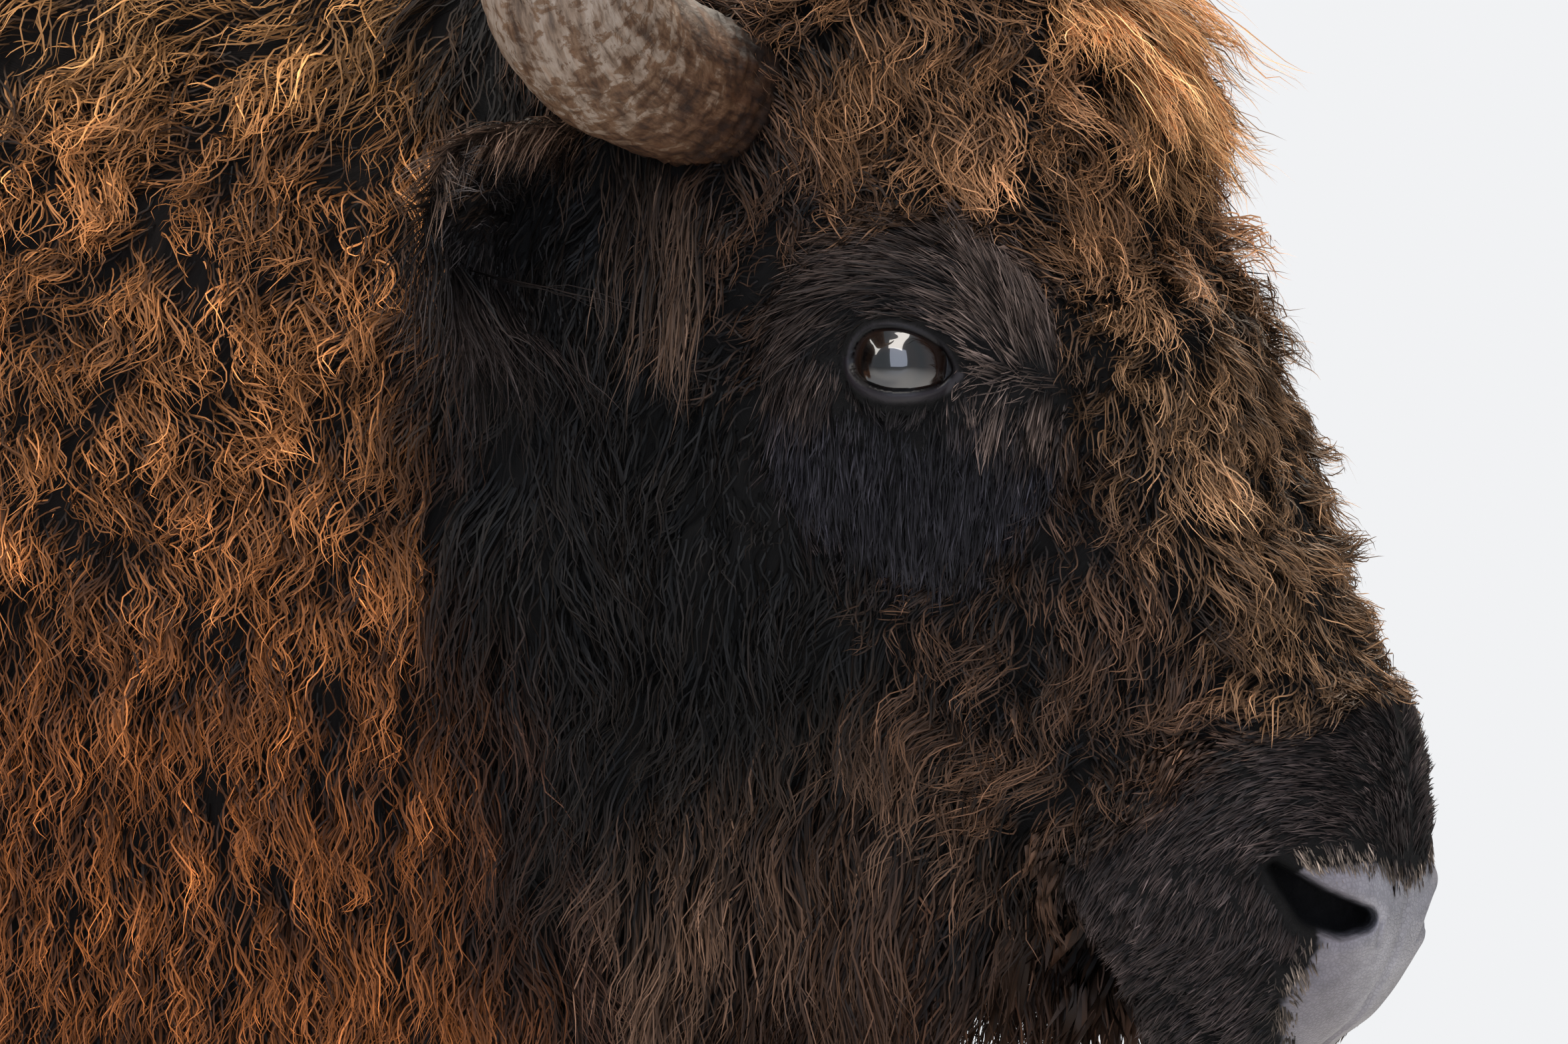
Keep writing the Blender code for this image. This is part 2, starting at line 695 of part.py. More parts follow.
def build():
    clear_scene()
    flesh = melted_flesh()
    coated, horns, hooves, eyes = [], [], [], []

    for side_name, side in SIDES.items():
        horns.append(horn_form(f"horn_{side_name}", side))
        coated.append(ear_form(f"ear_{side_name}", side))
        eyes.append(eye_form(f"eye_{side_name}", side))
        hollow(
            flesh,
            swelled(horn_form("horn_socket", side)),
            swelled(ear_form("ear_socket", side, cupped=False)),
            swelled(eye_form("eye_socket", side)),
            lid_opening(side),
            nostril_opening(side),
        )
        for pair in LEG_CUTS:
            leg, claws = part_leg(flesh, pair, side_name)
            coated += leg
            hooves += claws

    coated += part_tail(flesh)
    coated += part_head(flesh)
    flesh.name = "trunk"
    coated.append(flesh)

    for piece in coated:
        largest_body(piece)
        finish(piece, "dark_coat" if piece.name.startswith(DARK_PIECES) else "brown_coat")
    for piece in horns:
        finish(piece, "horn_sheath")
    for piece in hooves:
        finish(piece, "hoof_horn")
    for piece in eyes:
        finish(piece, "eye_glossy")
    centre_on_floor(coated + horns + hooves + eyes)


build()
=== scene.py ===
# European bison bull in winter coat, life size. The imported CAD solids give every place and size:
# one skin is made inside them, and solid mesh hair is grown on it out to the solids' surface.

import math
from functools import partial

import bmesh
import bpy
import numpy as np
from mathutils import Matrix, Vector
from mathutils.bvhtree import BVHTree
from mathutils.kdtree import KDTree


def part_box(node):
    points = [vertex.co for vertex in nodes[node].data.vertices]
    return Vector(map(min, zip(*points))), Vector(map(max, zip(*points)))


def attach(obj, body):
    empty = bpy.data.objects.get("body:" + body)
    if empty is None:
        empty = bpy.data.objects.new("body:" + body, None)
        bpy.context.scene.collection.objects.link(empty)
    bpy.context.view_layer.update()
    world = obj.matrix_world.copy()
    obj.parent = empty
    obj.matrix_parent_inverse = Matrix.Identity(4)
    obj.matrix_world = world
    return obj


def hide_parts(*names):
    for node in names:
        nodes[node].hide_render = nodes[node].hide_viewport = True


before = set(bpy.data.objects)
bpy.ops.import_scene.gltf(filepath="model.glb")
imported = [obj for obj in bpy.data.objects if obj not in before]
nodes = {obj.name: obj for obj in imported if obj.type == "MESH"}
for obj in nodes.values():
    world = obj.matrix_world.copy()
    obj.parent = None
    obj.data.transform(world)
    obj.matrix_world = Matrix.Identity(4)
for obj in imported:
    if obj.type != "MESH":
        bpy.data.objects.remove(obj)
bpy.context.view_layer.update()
scene = bpy.context.scene


# The head's own directions: down the face, out of the face, and to the animal's left.

headPose = {
    "faceSlope": 62.0,  # degrees below the horizontal
    "eyeDown": 0.190,  # the eyes lie this far down the face from the poll
    "eyeOut": -0.060,
}


def middleOf(node):
    low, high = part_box(node)
    return np.array((low + high) / 2)


slope = math.radians(headPose["faceSlope"])
faceDown = np.array([math.cos(slope), 0.0, -math.sin(slope)])
faceOut = np.array([math.sin(slope), 0.0, math.cos(slope)])
eyes = {"right": middleOf("eye_right"), "left": middleOf("eye_left")}
eyeRadius = float((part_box("eye_right")[1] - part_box("eye_right")[0]).z / 2)
poll = eyes["right"] * [1, 0, 1] - headPose["eyeDown"] * faceDown - headPose["eyeOut"] * faceOut
sides = {"right": -1, "left": 1}
originShift = poll - np.array([1.184, 0.0, 1.496])  # the coat's places are given from the poll at this spot


def inHead(down, out):
    return poll + down * faceDown + out * faceOut


def headCoords(points):
    away = points - poll
    return away @ faceDown, away @ faceOut, points[:, 1]


# Camera, floor and light

view = {
    "azimuth": 28.0,  # degrees from square on to the animal's right side, towards its front
    "elevation": 1.0,
    "distance": 4.0,
    "lens": 208.0,
    "acrossFromEye": -0.052,
    "upFromEye": -0.070,
}
angle = math.radians(view["azimuth"])
tilt = math.radians(view["elevation"])
viewRight = np.array([math.cos(angle), math.sin(angle), 0.0])
viewBack = np.array([math.sin(angle) * math.cos(tilt), -math.cos(angle) * math.cos(tilt), math.sin(tilt)])


def makeCamera():
    aim = eyes["right"] + view["acrossFromEye"] * viewRight + np.array([0, 0, view["upFromEye"]])
    camera = bpy.data.objects.new("camera", bpy.data.cameras.new("camera"))
    camera.data.lens = view["lens"]
    camera.location = Vector(aim + viewBack * view["distance"])
    camera.rotation_euler = Vector(viewBack).to_track_quat("Z", "Y").to_euler()
    camera.data.clip_end = 60
    scene.collection.objects.link(camera)
    scene.camera = camera


def linear(hexColour):
    parts = [int(hexColour[i : i + 2], 16) / 255 for i in (1, 3, 5)]
    return np.array([c / 12.92 if c <= 0.04045 else ((c + 0.055) / 1.055) ** 2.4 for c in parts])


def colour4(hexColour):
    return (*linear(hexColour), 1.0)


def feed(node, inputs):
    # inputs: the name of a property or socket, and its value or the output that feeds it
    for key, value in inputs.items():
        if isinstance(value, bpy.types.NodeSocket):
            node.id_data.links.new(value, node.inputs[key])
        elif isinstance(key, str) and hasattr(node, key):
            setattr(node, key, value)
        else:
            node.inputs[key].default_value = value


def addNode(tree, kind, inputs, output=0, stops=()):
    # gives the new node's output; stops: place and colour of each stop on a colour ramp
    node = tree.nodes.new("ShaderNode" + kind)
    feed(node, inputs)
    for number, (place, colour) in enumerate(stops):
        elements = node.color_ramp.elements
        element = elements[number] if number < 2 else elements.new(place)
        element.position, element.color = place, colour4(colour)
    return node.outputs[output]


def newMaterial(name, settings):
    material = bpy.data.materials.new(name)
    material.use_nodes = True
    shader = material.node_tree.nodes["Principled BSDF"]
    feed(shader, settings)
    return material, partial(addNode, material.node_tree), shader


studio = {
    "backdrop": "#f1f2f4",
    "sky": "#dde5ee",
    "skyStrength": 0.30,
    "floor": "#d9dbdd",
    "floorSize": 9.0,
    "floorGlow": 0.22,  # keeps the floor pale beyond the lamps' reach
    "lamps": (
        # name, place from the head, size, watts, colour
        ("key", (0.6, -2.2, 3.2), 2.8, 120.0, "#fff8f0"),
        ("front", (1.9, -3.8, 1.2), 4.2, 92.0, "#dde6fc"),
        ("rim", (-0.4, 2.2, 2.6), 2.0, 230.0, "#fff3e2"),
        ("back", (-3.0, -1.8, 2.4), 2.5, 70.0, "#fffaf2"),
    ),
}


def makeStudio():
    world = bpy.data.worlds.new("studio")
    world.use_nodes = True
    node = partial(addNode, world.node_tree)
    sky = world.node_tree.nodes["Background"]
    feed(sky, {"Color": colour4(studio["sky"]), "Strength": studio["skyStrength"]})
    backdrop = node("Background", {"Color": colour4(studio["backdrop"])})
    both = node("MixShader", {0: node("LightPath", {}, "Is Camera Ray"), 1: sky.outputs[0], 2: backdrop})
    feed(world.node_tree.nodes["World Output"], {"Surface": both})
    scene.world = world
    scene.view_settings.view_transform = "Standard"

    bm = bmesh.new()
    bmesh.ops.create_grid(bm, x_segments=1, y_segments=1, size=studio["floorSize"])
    mesh = meshFrom(bm, "floor")
    floor = bpy.data.objects.new("floor", mesh)
    scene.collection.objects.link(floor)
    # a matte painted floor
    material, node, shader = newMaterial("pale_floor", {
        "Roughness": 0.8, "Base Color": colour4(studio["floor"]), "Emission Color": colour4(studio["backdrop"]),
    })
    seen = node("LightPath", {}, "Is Camera Ray")
    glow = node("Math", {"operation": "MULTIPLY", 0: seen, 1: studio["floorGlow"]})
    feed(shader, {"Emission Strength": glow})
    mesh.materials.append(material)

    for name, offset, size, watts, tint in studio["lamps"]:
        lamp = bpy.data.lights.new(name, "AREA")
        lamp.shape, lamp.size, lamp.energy, lamp.color = "SQUARE", size, watts, linear(tint)
        holder = bpy.data.objects.new(name, lamp)
        holder.location = Vector(poll) + Vector(offset)
        holder.rotation_euler = Vector(offset).to_track_quat("Z", "Y").to_euler()
        scene.collection.objects.link(holder)


# Small tools on arrays of points

def ramp(value, low, high):
    t = np.clip((value - low) / (high - low), 0.0, 1.0)
    return t * t * (3 - 2 * t)


def inside(value, low, high, soft):
    # 1 between low and high, fading to 0 over soft on each side
    return ramp(value, low - soft, low) * (1 - ramp(value, high, high + soft))


def unit(vectors):
    return vectors / np.maximum(np.linalg.norm(vectors, axis=-1, keepdims=True), 1e-9)


def bell(value, middle, width):
    return np.exp(-(((value - middle) / width) ** 2))


def sideOf(points):
    # 1 on the animal's left, -1 on its right
    return np.where(points[:, 1] > 0, 1.0, -1.0)


def alongSurface(directions, normals):
    return unit(directions - (directions * normals).sum(axis=1, keepdims=True) * normals)


def tinted(colours, share, colour):
    return colours + share[:, None] * (colour - colours)


def ripple(points, size, seed):
    # a smooth random field between about -1 and 1, with swells of this size
    rng = np.random.default_rng(seed)
    waves = unit(rng.normal(size=(7, 3))) * rng.uniform(0.6, 1.5, (7, 1)) * (2 * math.pi / size)
    phases = rng.uniform(0, 2 * math.pi, 7)
    return np.sin(points @ waves.T + phases).sum(axis=1) / 3.2


def relax(points, edges, rounds, pull=0.5):
    first, second = edges[:, 0], edges[:, 1]
    count = len(points)
    neighbours = np.maximum(np.bincount(edges.ravel(), minlength=count), 1)[:, None]
    for _ in range(rounds):
        total = np.empty_like(points)
        for axis in range(points.shape[1]):
            total[:, axis] = np.bincount(first, points[second, axis], count)
            total[:, axis] += np.bincount(second, points[first, axis], count)
        points = points + pull * (total / neighbours - points)
    return points


def readAll(items, field, width, kind=float):
    values = np.empty(len(items) * width, kind)
    items.foreach_get(field, values)
    return values.reshape(-1, width)


def getPoints(mesh):
    return readAll(mesh.vertices, "co", 3)


def setPoints(mesh, points):
    mesh.vertices.foreach_set("co", np.asarray(points, np.float32).ravel())
    mesh.update()


def getNormals(mesh):
    return readAll(mesh.vertex_normals, "vector", 3)


def bmeshFrom(mesh):
    bm = bmesh.new()
    bm.from_mesh(mesh)
    return bm


def meshFrom(bm, name, asTriangles=True):
    if asTriangles:
        bmesh.ops.recalc_face_normals(bm, faces=bm.faces)
        bmesh.ops.triangulate(bm, faces=bm.faces)
        for face in bm.faces:
            face.smooth = True
    mesh = bpy.data.meshes.new(name)
    bm.to_mesh(mesh)
    bm.free()
    return mesh


def addPiece(name, mesh, replaced=()):
    piece = bpy.data.objects.new(name, mesh)
    scene.collection.objects.link(piece)
    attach(piece, "root")
    if replaced:
        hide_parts(*replaced)
    return piece


eyeForm = {
    "yaw": 14.0,  # degrees that an eye looks ahead of square sideways
    "dip": 8.0,  # its inner corner is lower than its outer one
    "outerCorner": -0.0205,
    "innerCorner": 0.0252,
    "upperLid": 0.0158,
    "lowerLid": 0.0122,
    "lidThickness": 0.0022,
    # each crease of the lids: whether it is above, its depth, how far from the opening, half its width
    "creases": ((True, 0.0021, 0.0080, 0.0021), (True, 0.0012, 0.0140, 0.0026),
                (False, 0.0010, 0.0066, 0.0014), (False, 0.0011, 0.0112, 0.0018)),
}

nostrilForm = {
    "place": (0.4785, -0.0230, 0.050),  # down and out of the face, and to the side
    # along the slit from its upper rear end: across, up, half width
    "slit": ((-0.0215, 0.0150, 0.0038), (-0.0145, 0.0082, 0.0070), (-0.0035, -0.0028, 0.0108),
             (0.0086, -0.0074, 0.0102), (0.0180, -0.0082, 0.0070)),
    "depth": 0.026,
}


# Where each kind of coat lies. Every zone is a weight from 0 to 1 at each point of the skin.

def headShare(points):
    down, out, _ = headCoords(points)
    return ramp(out - (-0.15 - (down + 0.10) * 0.349), -0.035, 0.02)


def fromEye(points):
    # places round the nearer eye: along its opening towards the nose, up, and out of the face
    side = sideOf(points)
    ahead, lateral, up = (points - np.where(side[:, None] > 0, eyes["left"], eyes["right"])).T
    lateral = lateral * side
    yaw, dip = math.radians(eyeForm["yaw"]), math.radians(eyeForm["dip"])
    out = lateral * math.cos(yaw) + ahead * math.sin(yaw)
    along = ahead * math.cos(yaw) - lateral * math.sin(yaw)
    return along * math.cos(dip) - up * math.sin(dip), along * math.sin(dip) + up * math.cos(dip), out


darkPatch = {"middle": (0.006, -0.012), "half": (0.078, 0.084)}  # round the eye, along it and up


def patchDistance(points):
    # 1 at the edge of the sleek dark patch of hair round the eye
    along, up, _ = fromEye(points)
    (x, y), (halfLong, halfTall) = darkPatch["middle"], darkPatch["half"]
    return np.sqrt(((along - x) / halfLong) ** 2 + ((up - y) / halfTall) ** 2)


earPlace = (1.090, 1.378)
bodyZones = (
    # zone, the zone it is taken from, and its borders: across which axis, where it begins and where it is whole
    ("tail", None, ("x", -1.150, -1.175), ("z", 0.40, 0.50)),
    ("tuft", "tail", ("z", 0.96, 0.84)),
    ("leg", None, ("z", 0.62, 0.52)),
    ("nearHead", None, ("x", 0.985, 1.035), ("z", 0.90, 1.02)),
    ("brisket", None, ("x", 0.42, 0.60), ("z", 1.02, 0.86)),
    ("nape", None, ("x", 0.70, 0.84), ("z", 1.38, 1.47)),
    ("neck", None, ("x", 0.62, 0.76)),
    ("lowNeck", "neck", ("z", 1.30, 1.14)),
    ("shoulder", None, ("x", 0.10, 0.34)),
    ("belly", None, ("z", 0.96, 0.82)),
    ("back", None),
)


def zoneWeights(points):
    down, out, left = headCoords(points)
    wide = np.abs(left)
    x, _, z = (points - originShift).T
    zones = {}

    def take(name, rest, *shares):
        # a zone takes its share of what the zones before it left
        zones[name] = rest
        for share in shares:
            zones[name] = zones[name] * share
        return rest - zones[name]

    head = headShare(points)
    chin = (1 - ramp(out, -0.156, -0.128)) * (1 - ramp(down, 0.470, 0.505))
    muzzle = ramp(down, 0.385, 0.415) * head * (1 - chin)
    eyePatch = (1 - ramp(patchDistance(points), 0.82, 1.02)) * head
    eyePatch = eyePatch * (1 - ramp(out, 0.005, 0.030)) * (1 - muzzle)
    crown = (1 - ramp(wide - (0.060 - 0.42 * np.clip(down - 0.03, 0, 1)), -0.02, 0.02))
    crown = crown * (1 - ramp(down, 0.10, 0.15)) * ramp(out, -0.02, 0.03) * head
    forehead = (1 - ramp(down, 0.17, 0.23)) * ramp(out, -0.07, -0.03) * head * (1 - crown) * (1 - eyePatch)
    bridge = ramp(down, 0.17, 0.23) * ramp(out, -0.02, 0.02) * (1 - muzzle) * head * (1 - eyePatch)
    zones.update(muzzle=muzzle, eyePatch=eyePatch, crown=crown, forehead=forehead, bridge=bridge)
    rest = head * (1 - np.clip(muzzle + eyePatch + crown + forehead + bridge, 0, 1))
    under = ramp(-out - 0.10 * down, 0.135, 0.175) * inside(down, 0.22, 0.46, 0.05)
    under = np.maximum(under, chin * ramp(down, 0.36, 0.40))
    rest = take("beard", rest, under, 1 - ramp(wide, 0.03, 0.075))
    rest = take("underEar", rest, 1 - ramp(out, -0.150, -0.110), 1 - ramp(down, 0.27, 0.33))
    rest = take("jaw", rest, 1 - ramp(out, -0.170, -0.120), ramp(down, 0.25, 0.32))
    fromEar = np.hypot(x - earPlace[0], z - earPlace[1])
    rest = take("temple", rest, 1 - ramp(fromEar, 0.032, 0.054), ramp(wide, 0.09, 0.11))
    take("cheek", rest)

    rest = 1 - head
    for name, source, *borders in bodyZones:
        shares = []
        for axis, begins, whole in borders:
            place = {"x": x, "z": z}[axis]
            shares.append(ramp(place, begins, whole) if begins < whole else 1 - ramp(place, whole, begins))
        if source:
            zones[source] = take(name, zones[source], *shares)
        else:
            rest = take(name, rest, *shares)
    total = np.maximum(sum(zones.values()), 1e-6)
    return {name: weight / total for name, weight in zones.items()}


# A row of each table for every kind of hair, with its lengths in millimetres.
# depth: how far the skin lies under the solids' surface
# length, width: of one strand; lift: degrees off the skin; curl, wave: how wide and how long a lock's waves are
# frizz, kink: the same for the strands' own waves; stagger: how far along the lock some strands begin
# dark: share of the length in the root's colour; root and tip: colours, the near-black roots partly the hair's
# own colour and partly painted shade deep in the coat
coatStrands = {
    #           depth length width lift curl wave frizz kink stagger dark  root       tip
    "muzzle":   (4,    14,    0.7,  15,  0.3, 30,  0.3,  24,  0,      0.35, "#0a090a", "#382f2d"),
    "eyePatch": (6,    34,    0.6,  13,  0.6, 60,  0.4,  24,  0,      0.45, "#080708", "#3f342f"),
    # crown: its pale golden tips are partly the hair's own colour and partly a painted glow of light shining
    # through it
    "crown":    (50,   75,    0.7,  38,  2,   60,  1.6,  30,  0,      0.3,  "#3c2614", "#cf9c68"),
    "forehead": (46,   50,    0.7,  46,  6.2, 36,  2.3,  30,  0.4,    0.48, "#0e0906", "#966c4a"),
    "bridge":   (20,   36,    0.7,  36,  3.6, 30,  1.8,  28,  0.35,   0.46, "#0d0907", "#8f6c4d"),
    "cheek":    (22,   48,    0.7,  30,  6,   40,  1.4,  30,  0.25,   0.5,  "#080606", "#604533"),
    "temple":   (22,   90,    0.6,  26,  1.5, 80,  0.8,  40,  0,      0.35, "#0e0a08", "#5e4a3c"),
    "underEar": (26,   60,    0.8,  22,  3,   45,  1.2,  24,  0,      0.5,  "#050505", "#19130f"),
    "jaw":      (28,   80,    0.8,  22,  4,   60,  1,    30,  0,      0.5,  "#090706", "#7c5e4a"),
    "beard":    (24,   140,   1,    30,  5.5, 60,  1.2,  24,  0,      0.4,  "#0b0807", "#3a2518"),
    "nearHead": (45,   90,    0.9,  24,  4.5, 55,  1.2,  24,  0,      0.5,  "#080605", "#38241a"),
    "neck":     (45,   46,    0.7,  44,  5,   32,  2.2,  30,  0.4,    0.5,  "#110a06", "#ad7242"),
    "lowNeck":  (45,   62,    0.7,  34,  3.4, 28,  1.5,  32,  0.35,   0.5,  "#0f0804", "#9b5b2e"),
    "nape":     (50,   58,    0.8,  44,  5,   40,  2.4,  34,  0.3,    0.4,  "#1a1009", "#a87848"),
    "brisket":  (50,   130,   3.4,  24,  6,   80,  3,    50,  0,      0.4,  "#140c08", "#5c3b25"),
    "shoulder": (42,   80,    3.4,  24,  5,   65,  3,    45,  0,      0.38, "#1b110a", "#7c5230"),
    "back":     (30,   60,    3.8,  13,  1.2, 60,  2,    60,  0,      0.28, "#23160d", "#6a482d"),
    "belly":    (32,   70,    3.6,  17,  3,   60,  2.5,  45,  0,      0.4,  "#150e09", "#4f3523"),
    "leg":      (7,    28,    2.8,  9,   0.8, 30,  0.8,  24,  0,      0.3,  "#17100c", "#3d2c20"),
    "tail":     (10,   60,    2.2,  12,  2,   60,  2,    40,  0,      0.3,  "#17100b", "#4a3220"),
    "tuft":     (24,   170,   1.6,  11,  6,   90,  3,    60,  0,      0.4,  "#0f0a08", "#33231a"),
    "innerEar": (0,    45,    0.5,  30,  1.2, 70,  0.6,  35,  0,      0.4,  "#0a0909", "#56504f"),
    "outerEar": (0,    36,    0.7,  16,  1.5, 60,  1.2,  35,  0,      0.4,  "#0d0907", "#4a382b"),
    "upperEar": (0,    46,    0.5,  15,  1,   80,  0.7,  35,  0,      0.25, "#18110d", "#7b6251"),
    "lowerEar": (0,    95,    0.6,  20,  2.5, 80,  1,    35,  0,      0.4,  "#0a0808", "#322a27"),
}
strandColumns = ("depth", "length", "width", "lift", "curl", "wave", "frizz", "kink", "stagger", "dark",
                 "root", "tip")

# spacing: between tufts; clump: between the bunches that tufts lean into, and lean: how far they do
# strands: in a tuft; spread: of a tuft's roots; gather: how far its tips close up;
# sway: how much the lie wanders
# hang: pull of its own weight
coatTufts = {
    #           spacing clump lean  strands spread gather sway  hang
    "muzzle":   (3.4,    10,   0.08, 9,      3.6,   0.15,  0.1,  0.05),
    "eyePatch": (4.8,    10,   0.25, 13,     5,     0.4,   0.07, 0.04),
    "crown":    (8,      22,   0.6,  22,     9,     0.35,  0.3,  0.16),
    "forehead": (8,      22,   0.6,  22,     8.5,   0.6,   0.8,  0.2),
    "bridge":   (6.6,    18,   0.5,  18,     7,     0.6,   0.55, 0.15),
    "cheek":    (7.6,    24,   0.5,  19,     7.5,   0.6,   0.8,  0.18),
    "temple":   (6.6,    18,   0.6,  20,     7,     0.45,  0.12, 0.8),
    "underEar": (9,      26,   0.6,  16,     8.5,   0.6,   0.35, 0.35),
    "jaw":      (8.8,    28,   0.6,  19,     8,     0.6,   0.35, 0.3),
    "beard":    (9.2,    30,   0.6,  25,     12,    0.28,  0.25, 0.9),
    "nearHead": (10.5,   30,   0.6,  17,     9.5,   0.6,   0.35, 0.45),
    "neck":     (9,      18,   0.5,  21,     9.2,   0.58,  0.6,  0.22),
    "lowNeck":  (9.2,    15,   0.7,  20,     8.8,   0.7,   0.22, 0.5),
    "nape":     (10.5,   26,   0.4,  22,     11,    0.5,   0.6,  0.2),
    "brisket":  (24,     55,   0.3,  11,     22,    0.5,   0.3,  0.7),
    "shoulder": (23,     50,   0.25, 12,     22,    0.35,  0.3,  0.35),
    "back":     (26,     60,   0.12, 13,     26,    0.15,  0.14, 0.16),
    "belly":    (27,     60,   0.2,  11,     26,    0.3,   0.3,  0.55),
    "leg":      (16.5,   40,   0.1,  9,      16,    0.15,  0.12, 0.15),
    "tail":     (12,     30,   0.2,  9,      12,    0.3,   0.1,  0.6),
    "tuft":     (10.5,   30,   0.3,  12,     11,    0.4,   0.12, 2),
    "innerEar": (4.4,    12,   0.3,  11,     5,     0.45,  0.1,  0.05),
    "outerEar": (6.2,    16,   0.3,  12,     6,     0.45,  0.15, 0.25),
    "upperEar": (3.8,    13,   0.3,  18,     4.5,   0.45,  0.06, 0.45),
    "lowerEar": (4.6,    18,   0.6,  15,     6,     0.45,  0.15, 1.1),
}
tuftColumns = ("spacing", "clump", "lean", "strands", "spread", "gather", "sway", "hang")
inMillimetres = ("depth", "length", "width", "curl", "wave", "frizz", "kink", "spacing", "clump", "spread")
hairNumbers, hairColours = {}, {}
for table, columns in ((coatStrands, strandColumns), (coatTufts, tuftColumns)):
    for place, key in enumerate(columns):
        if key in ("root", "tip"):
            hairColours[key] = {name: linear(row[place]) for name, row in table.items()}
        else:
            unitOf = 1000 if key in inMillimetres else 1
            hairNumbers[key] = {name: row[place] / unitOf for name, row in table.items()}


def blended(zones, key):
    return sum(weight * hairNumbers[key][name] for name, weight in zones.items())


def blendedColour(zones, key):
    return sum(weight[:, None] * hairColours[key][name] for name, weight in zones.items())


# Skin: the solids of flesh melted into one surface, drawn in by the coat's depth, then sculpted

skinForm = {
    "voxel": 0.0150,
    "insetSteps": 4,
    # balls that fill the sockets of horns and ears: place, radius
    "fillings": (((1.118, 0.108, 1.420), 0.048), ((1.060, 0.124, 1.366), 0.052), ((1.050, 0.150, 1.345), 0.050),
                 ((1.046, 0.172, 1.300), 0.040)),
}
fleshNodes = ["head", "lower_jaw", "neck", "trunk", "tail", "tail_tuft"]
fleshNodes += [name for name in nodes if "leg_" in name and name.endswith(("upper", "lower"))]


def meltFlesh():
    bm = bmesh.new()
    for name in fleshNodes + ["eye_right", "eye_left"]:
        solid = bmeshFrom(nodes[name].data)
        bmesh.ops.remove_doubles(solid, verts=solid.verts, dist=1e-5)
        for vert in solid.verts:
            vert.co += vert.normal * 0.0008  # enough to close the gaps between solids
        mesh = meshFrom(solid, "solid", False)
        bm.from_mesh(mesh)
        bpy.data.meshes.remove(mesh)
    for side in sides.values():
        for place, radius in skinForm["fillings"]:
            place = Vector(originShift) + Vector(place) * Vector((1, side, 1))
            bmesh.ops.create_icosphere(bm, subdivisions=3, radius=radius, matrix=Matrix.Translation(place))
    melt = bpy.data.objects.new("melt", meshFrom(bm, "melt", False))
    scene.collection.objects.link(melt)
    voxels = melt.modifiers.new("voxels", "REMESH")
    voxels.mode = "VOXEL"
    voxels.voxel_size = skinForm["voxel"]
    graph = bpy.context.evaluated_depsgraph_get()
    whole = bpy.data.meshes.new_from_object(melt.evaluated_get(graph))
    bpy.data.objects.remove(melt)
    return whole


def drawIn(mesh):
    bm = bmeshFrom(mesh)
    outside = BVHTree.FromBMesh(bm)
    bm.free()
    points, edges = getPoints(mesh), readAll(mesh.edges, "vertices", 2, np.int32)
    legs = 1 - ramp(points[:, 2], 0.60, 0.80)
    head = headShare(points)
    pull = (0.5 - 0.35 * legs - 0.25 * head)[:, None]
    points = relax(points, edges, 14, pull)
    setPoints(mesh, points)
    depth = blended(zoneWeights(points), "depth") * ramp(points[:, 2], 0.080, 0.110)
    for _ in range(skinForm["insetSteps"]):
        points = getPoints(mesh) - getNormals(mesh) * (depth / skinForm["insetSteps"])[:, None]
        setPoints(mesh, relax(points, edges, 3, pull))
    for _ in range(2):  # back out to the right depth wherever the smoothing drew it in too far
        points = getPoints(mesh)
        gaps = np.array([outside.find_nearest(point)[3] for point in points])
        shift = relax((gaps - depth)[:, None], edges, 6)
        setPoints(mesh, points + getNormals(mesh) * np.clip(shift, -0.004, 0.020))


def refine(mesh, chosen):
    # halves the size of the faces whose middles are chosen
    bm = bmeshFrom(mesh)
    bm.faces.index_update()
    middles = np.array([face.calc_center_median() for face in bm.faces])
    keep = chosen(middles)
    edges = [edge for edge in bm.edges if any(keep[face.index] for face in edge.link_faces)]
    bmesh.ops.subdivide_edges(bm, edges=edges, cuts=1, use_grid_fill=True)
    bm.to_mesh(mesh)
    bm.free()
    points = getPoints(mesh)
    pull = (0.4 * ramp(headShare(points), 0.2, 0.6))[:, None]
    setPoints(mesh, relax(points, readAll(mesh.edges, "vertices", 2, np.int32), 3, pull))


def besideEye(points, radius):
    along, up, out = fromEye(points)
    return (along**2 + up**2 < radius**2) & (out > -0.012)


def nostrilCoords(points):
    # places round the nearer nostril: across towards the nose's tip, up, and towards the camera's side
    side = sideOf(points)
    down, out, left = nostrilForm["place"]
    middle = inHead(down, out) + np.stack([0 * side, side * left, 0 * side], axis=1)
    ahead, flank, up = (points - middle).T
    flank = flank * side
    return ahead * viewRight[0] - flank * viewRight[1], up, ahead * viewRight[1] + flank * viewRight[0]


def besideNostril(points, radius):
    across, up, outwards = nostrilCoords(points)
    return (across**2 + up**2 < radius**2) & (outwards > -0.03)


def refineSkin(mesh):
    refine(mesh, lambda p: headShare(p) > 0.35)
    refine(mesh, lambda p: (headCoords(p)[0] > 0.385) & (headShare(p) > 0.9) | besideEye(p, 0.055))
    refine(mesh, lambda p: besideEye(p, 0.036) | besideNostril(p, 0.040))
    refine(mesh, lambda p: besideEye(p, 0.029) | besideNostril(p, 0.031))


def smoothMax(a, b, soft):
    h = np.clip(0.5 + 0.5 * (a - b) / soft, 0, 1)
    return b + (a - b) * h + soft * h * (1 - h)


def eyeOutline():
    # the almond between the lids, in steps round from the inner corner
    turns = np.linspace(0, 2 * math.pi, 160, endpoint=False)
    along = np.cos(turns)
    reach = np.where(along > 0, eyeForm["innerCorner"], -eyeForm["outerCorner"])
    point = np.where(along > 0, 1.25, 0.85)  # the inner corner is drawn out to a point
    height = np.abs(np.sin(turns)) ** point
    lid = np.where(turns < math.pi, eyeForm["upperLid"], -eyeForm["lowerLid"])
    return np.stack([along * reach, height * lid], axis=1)


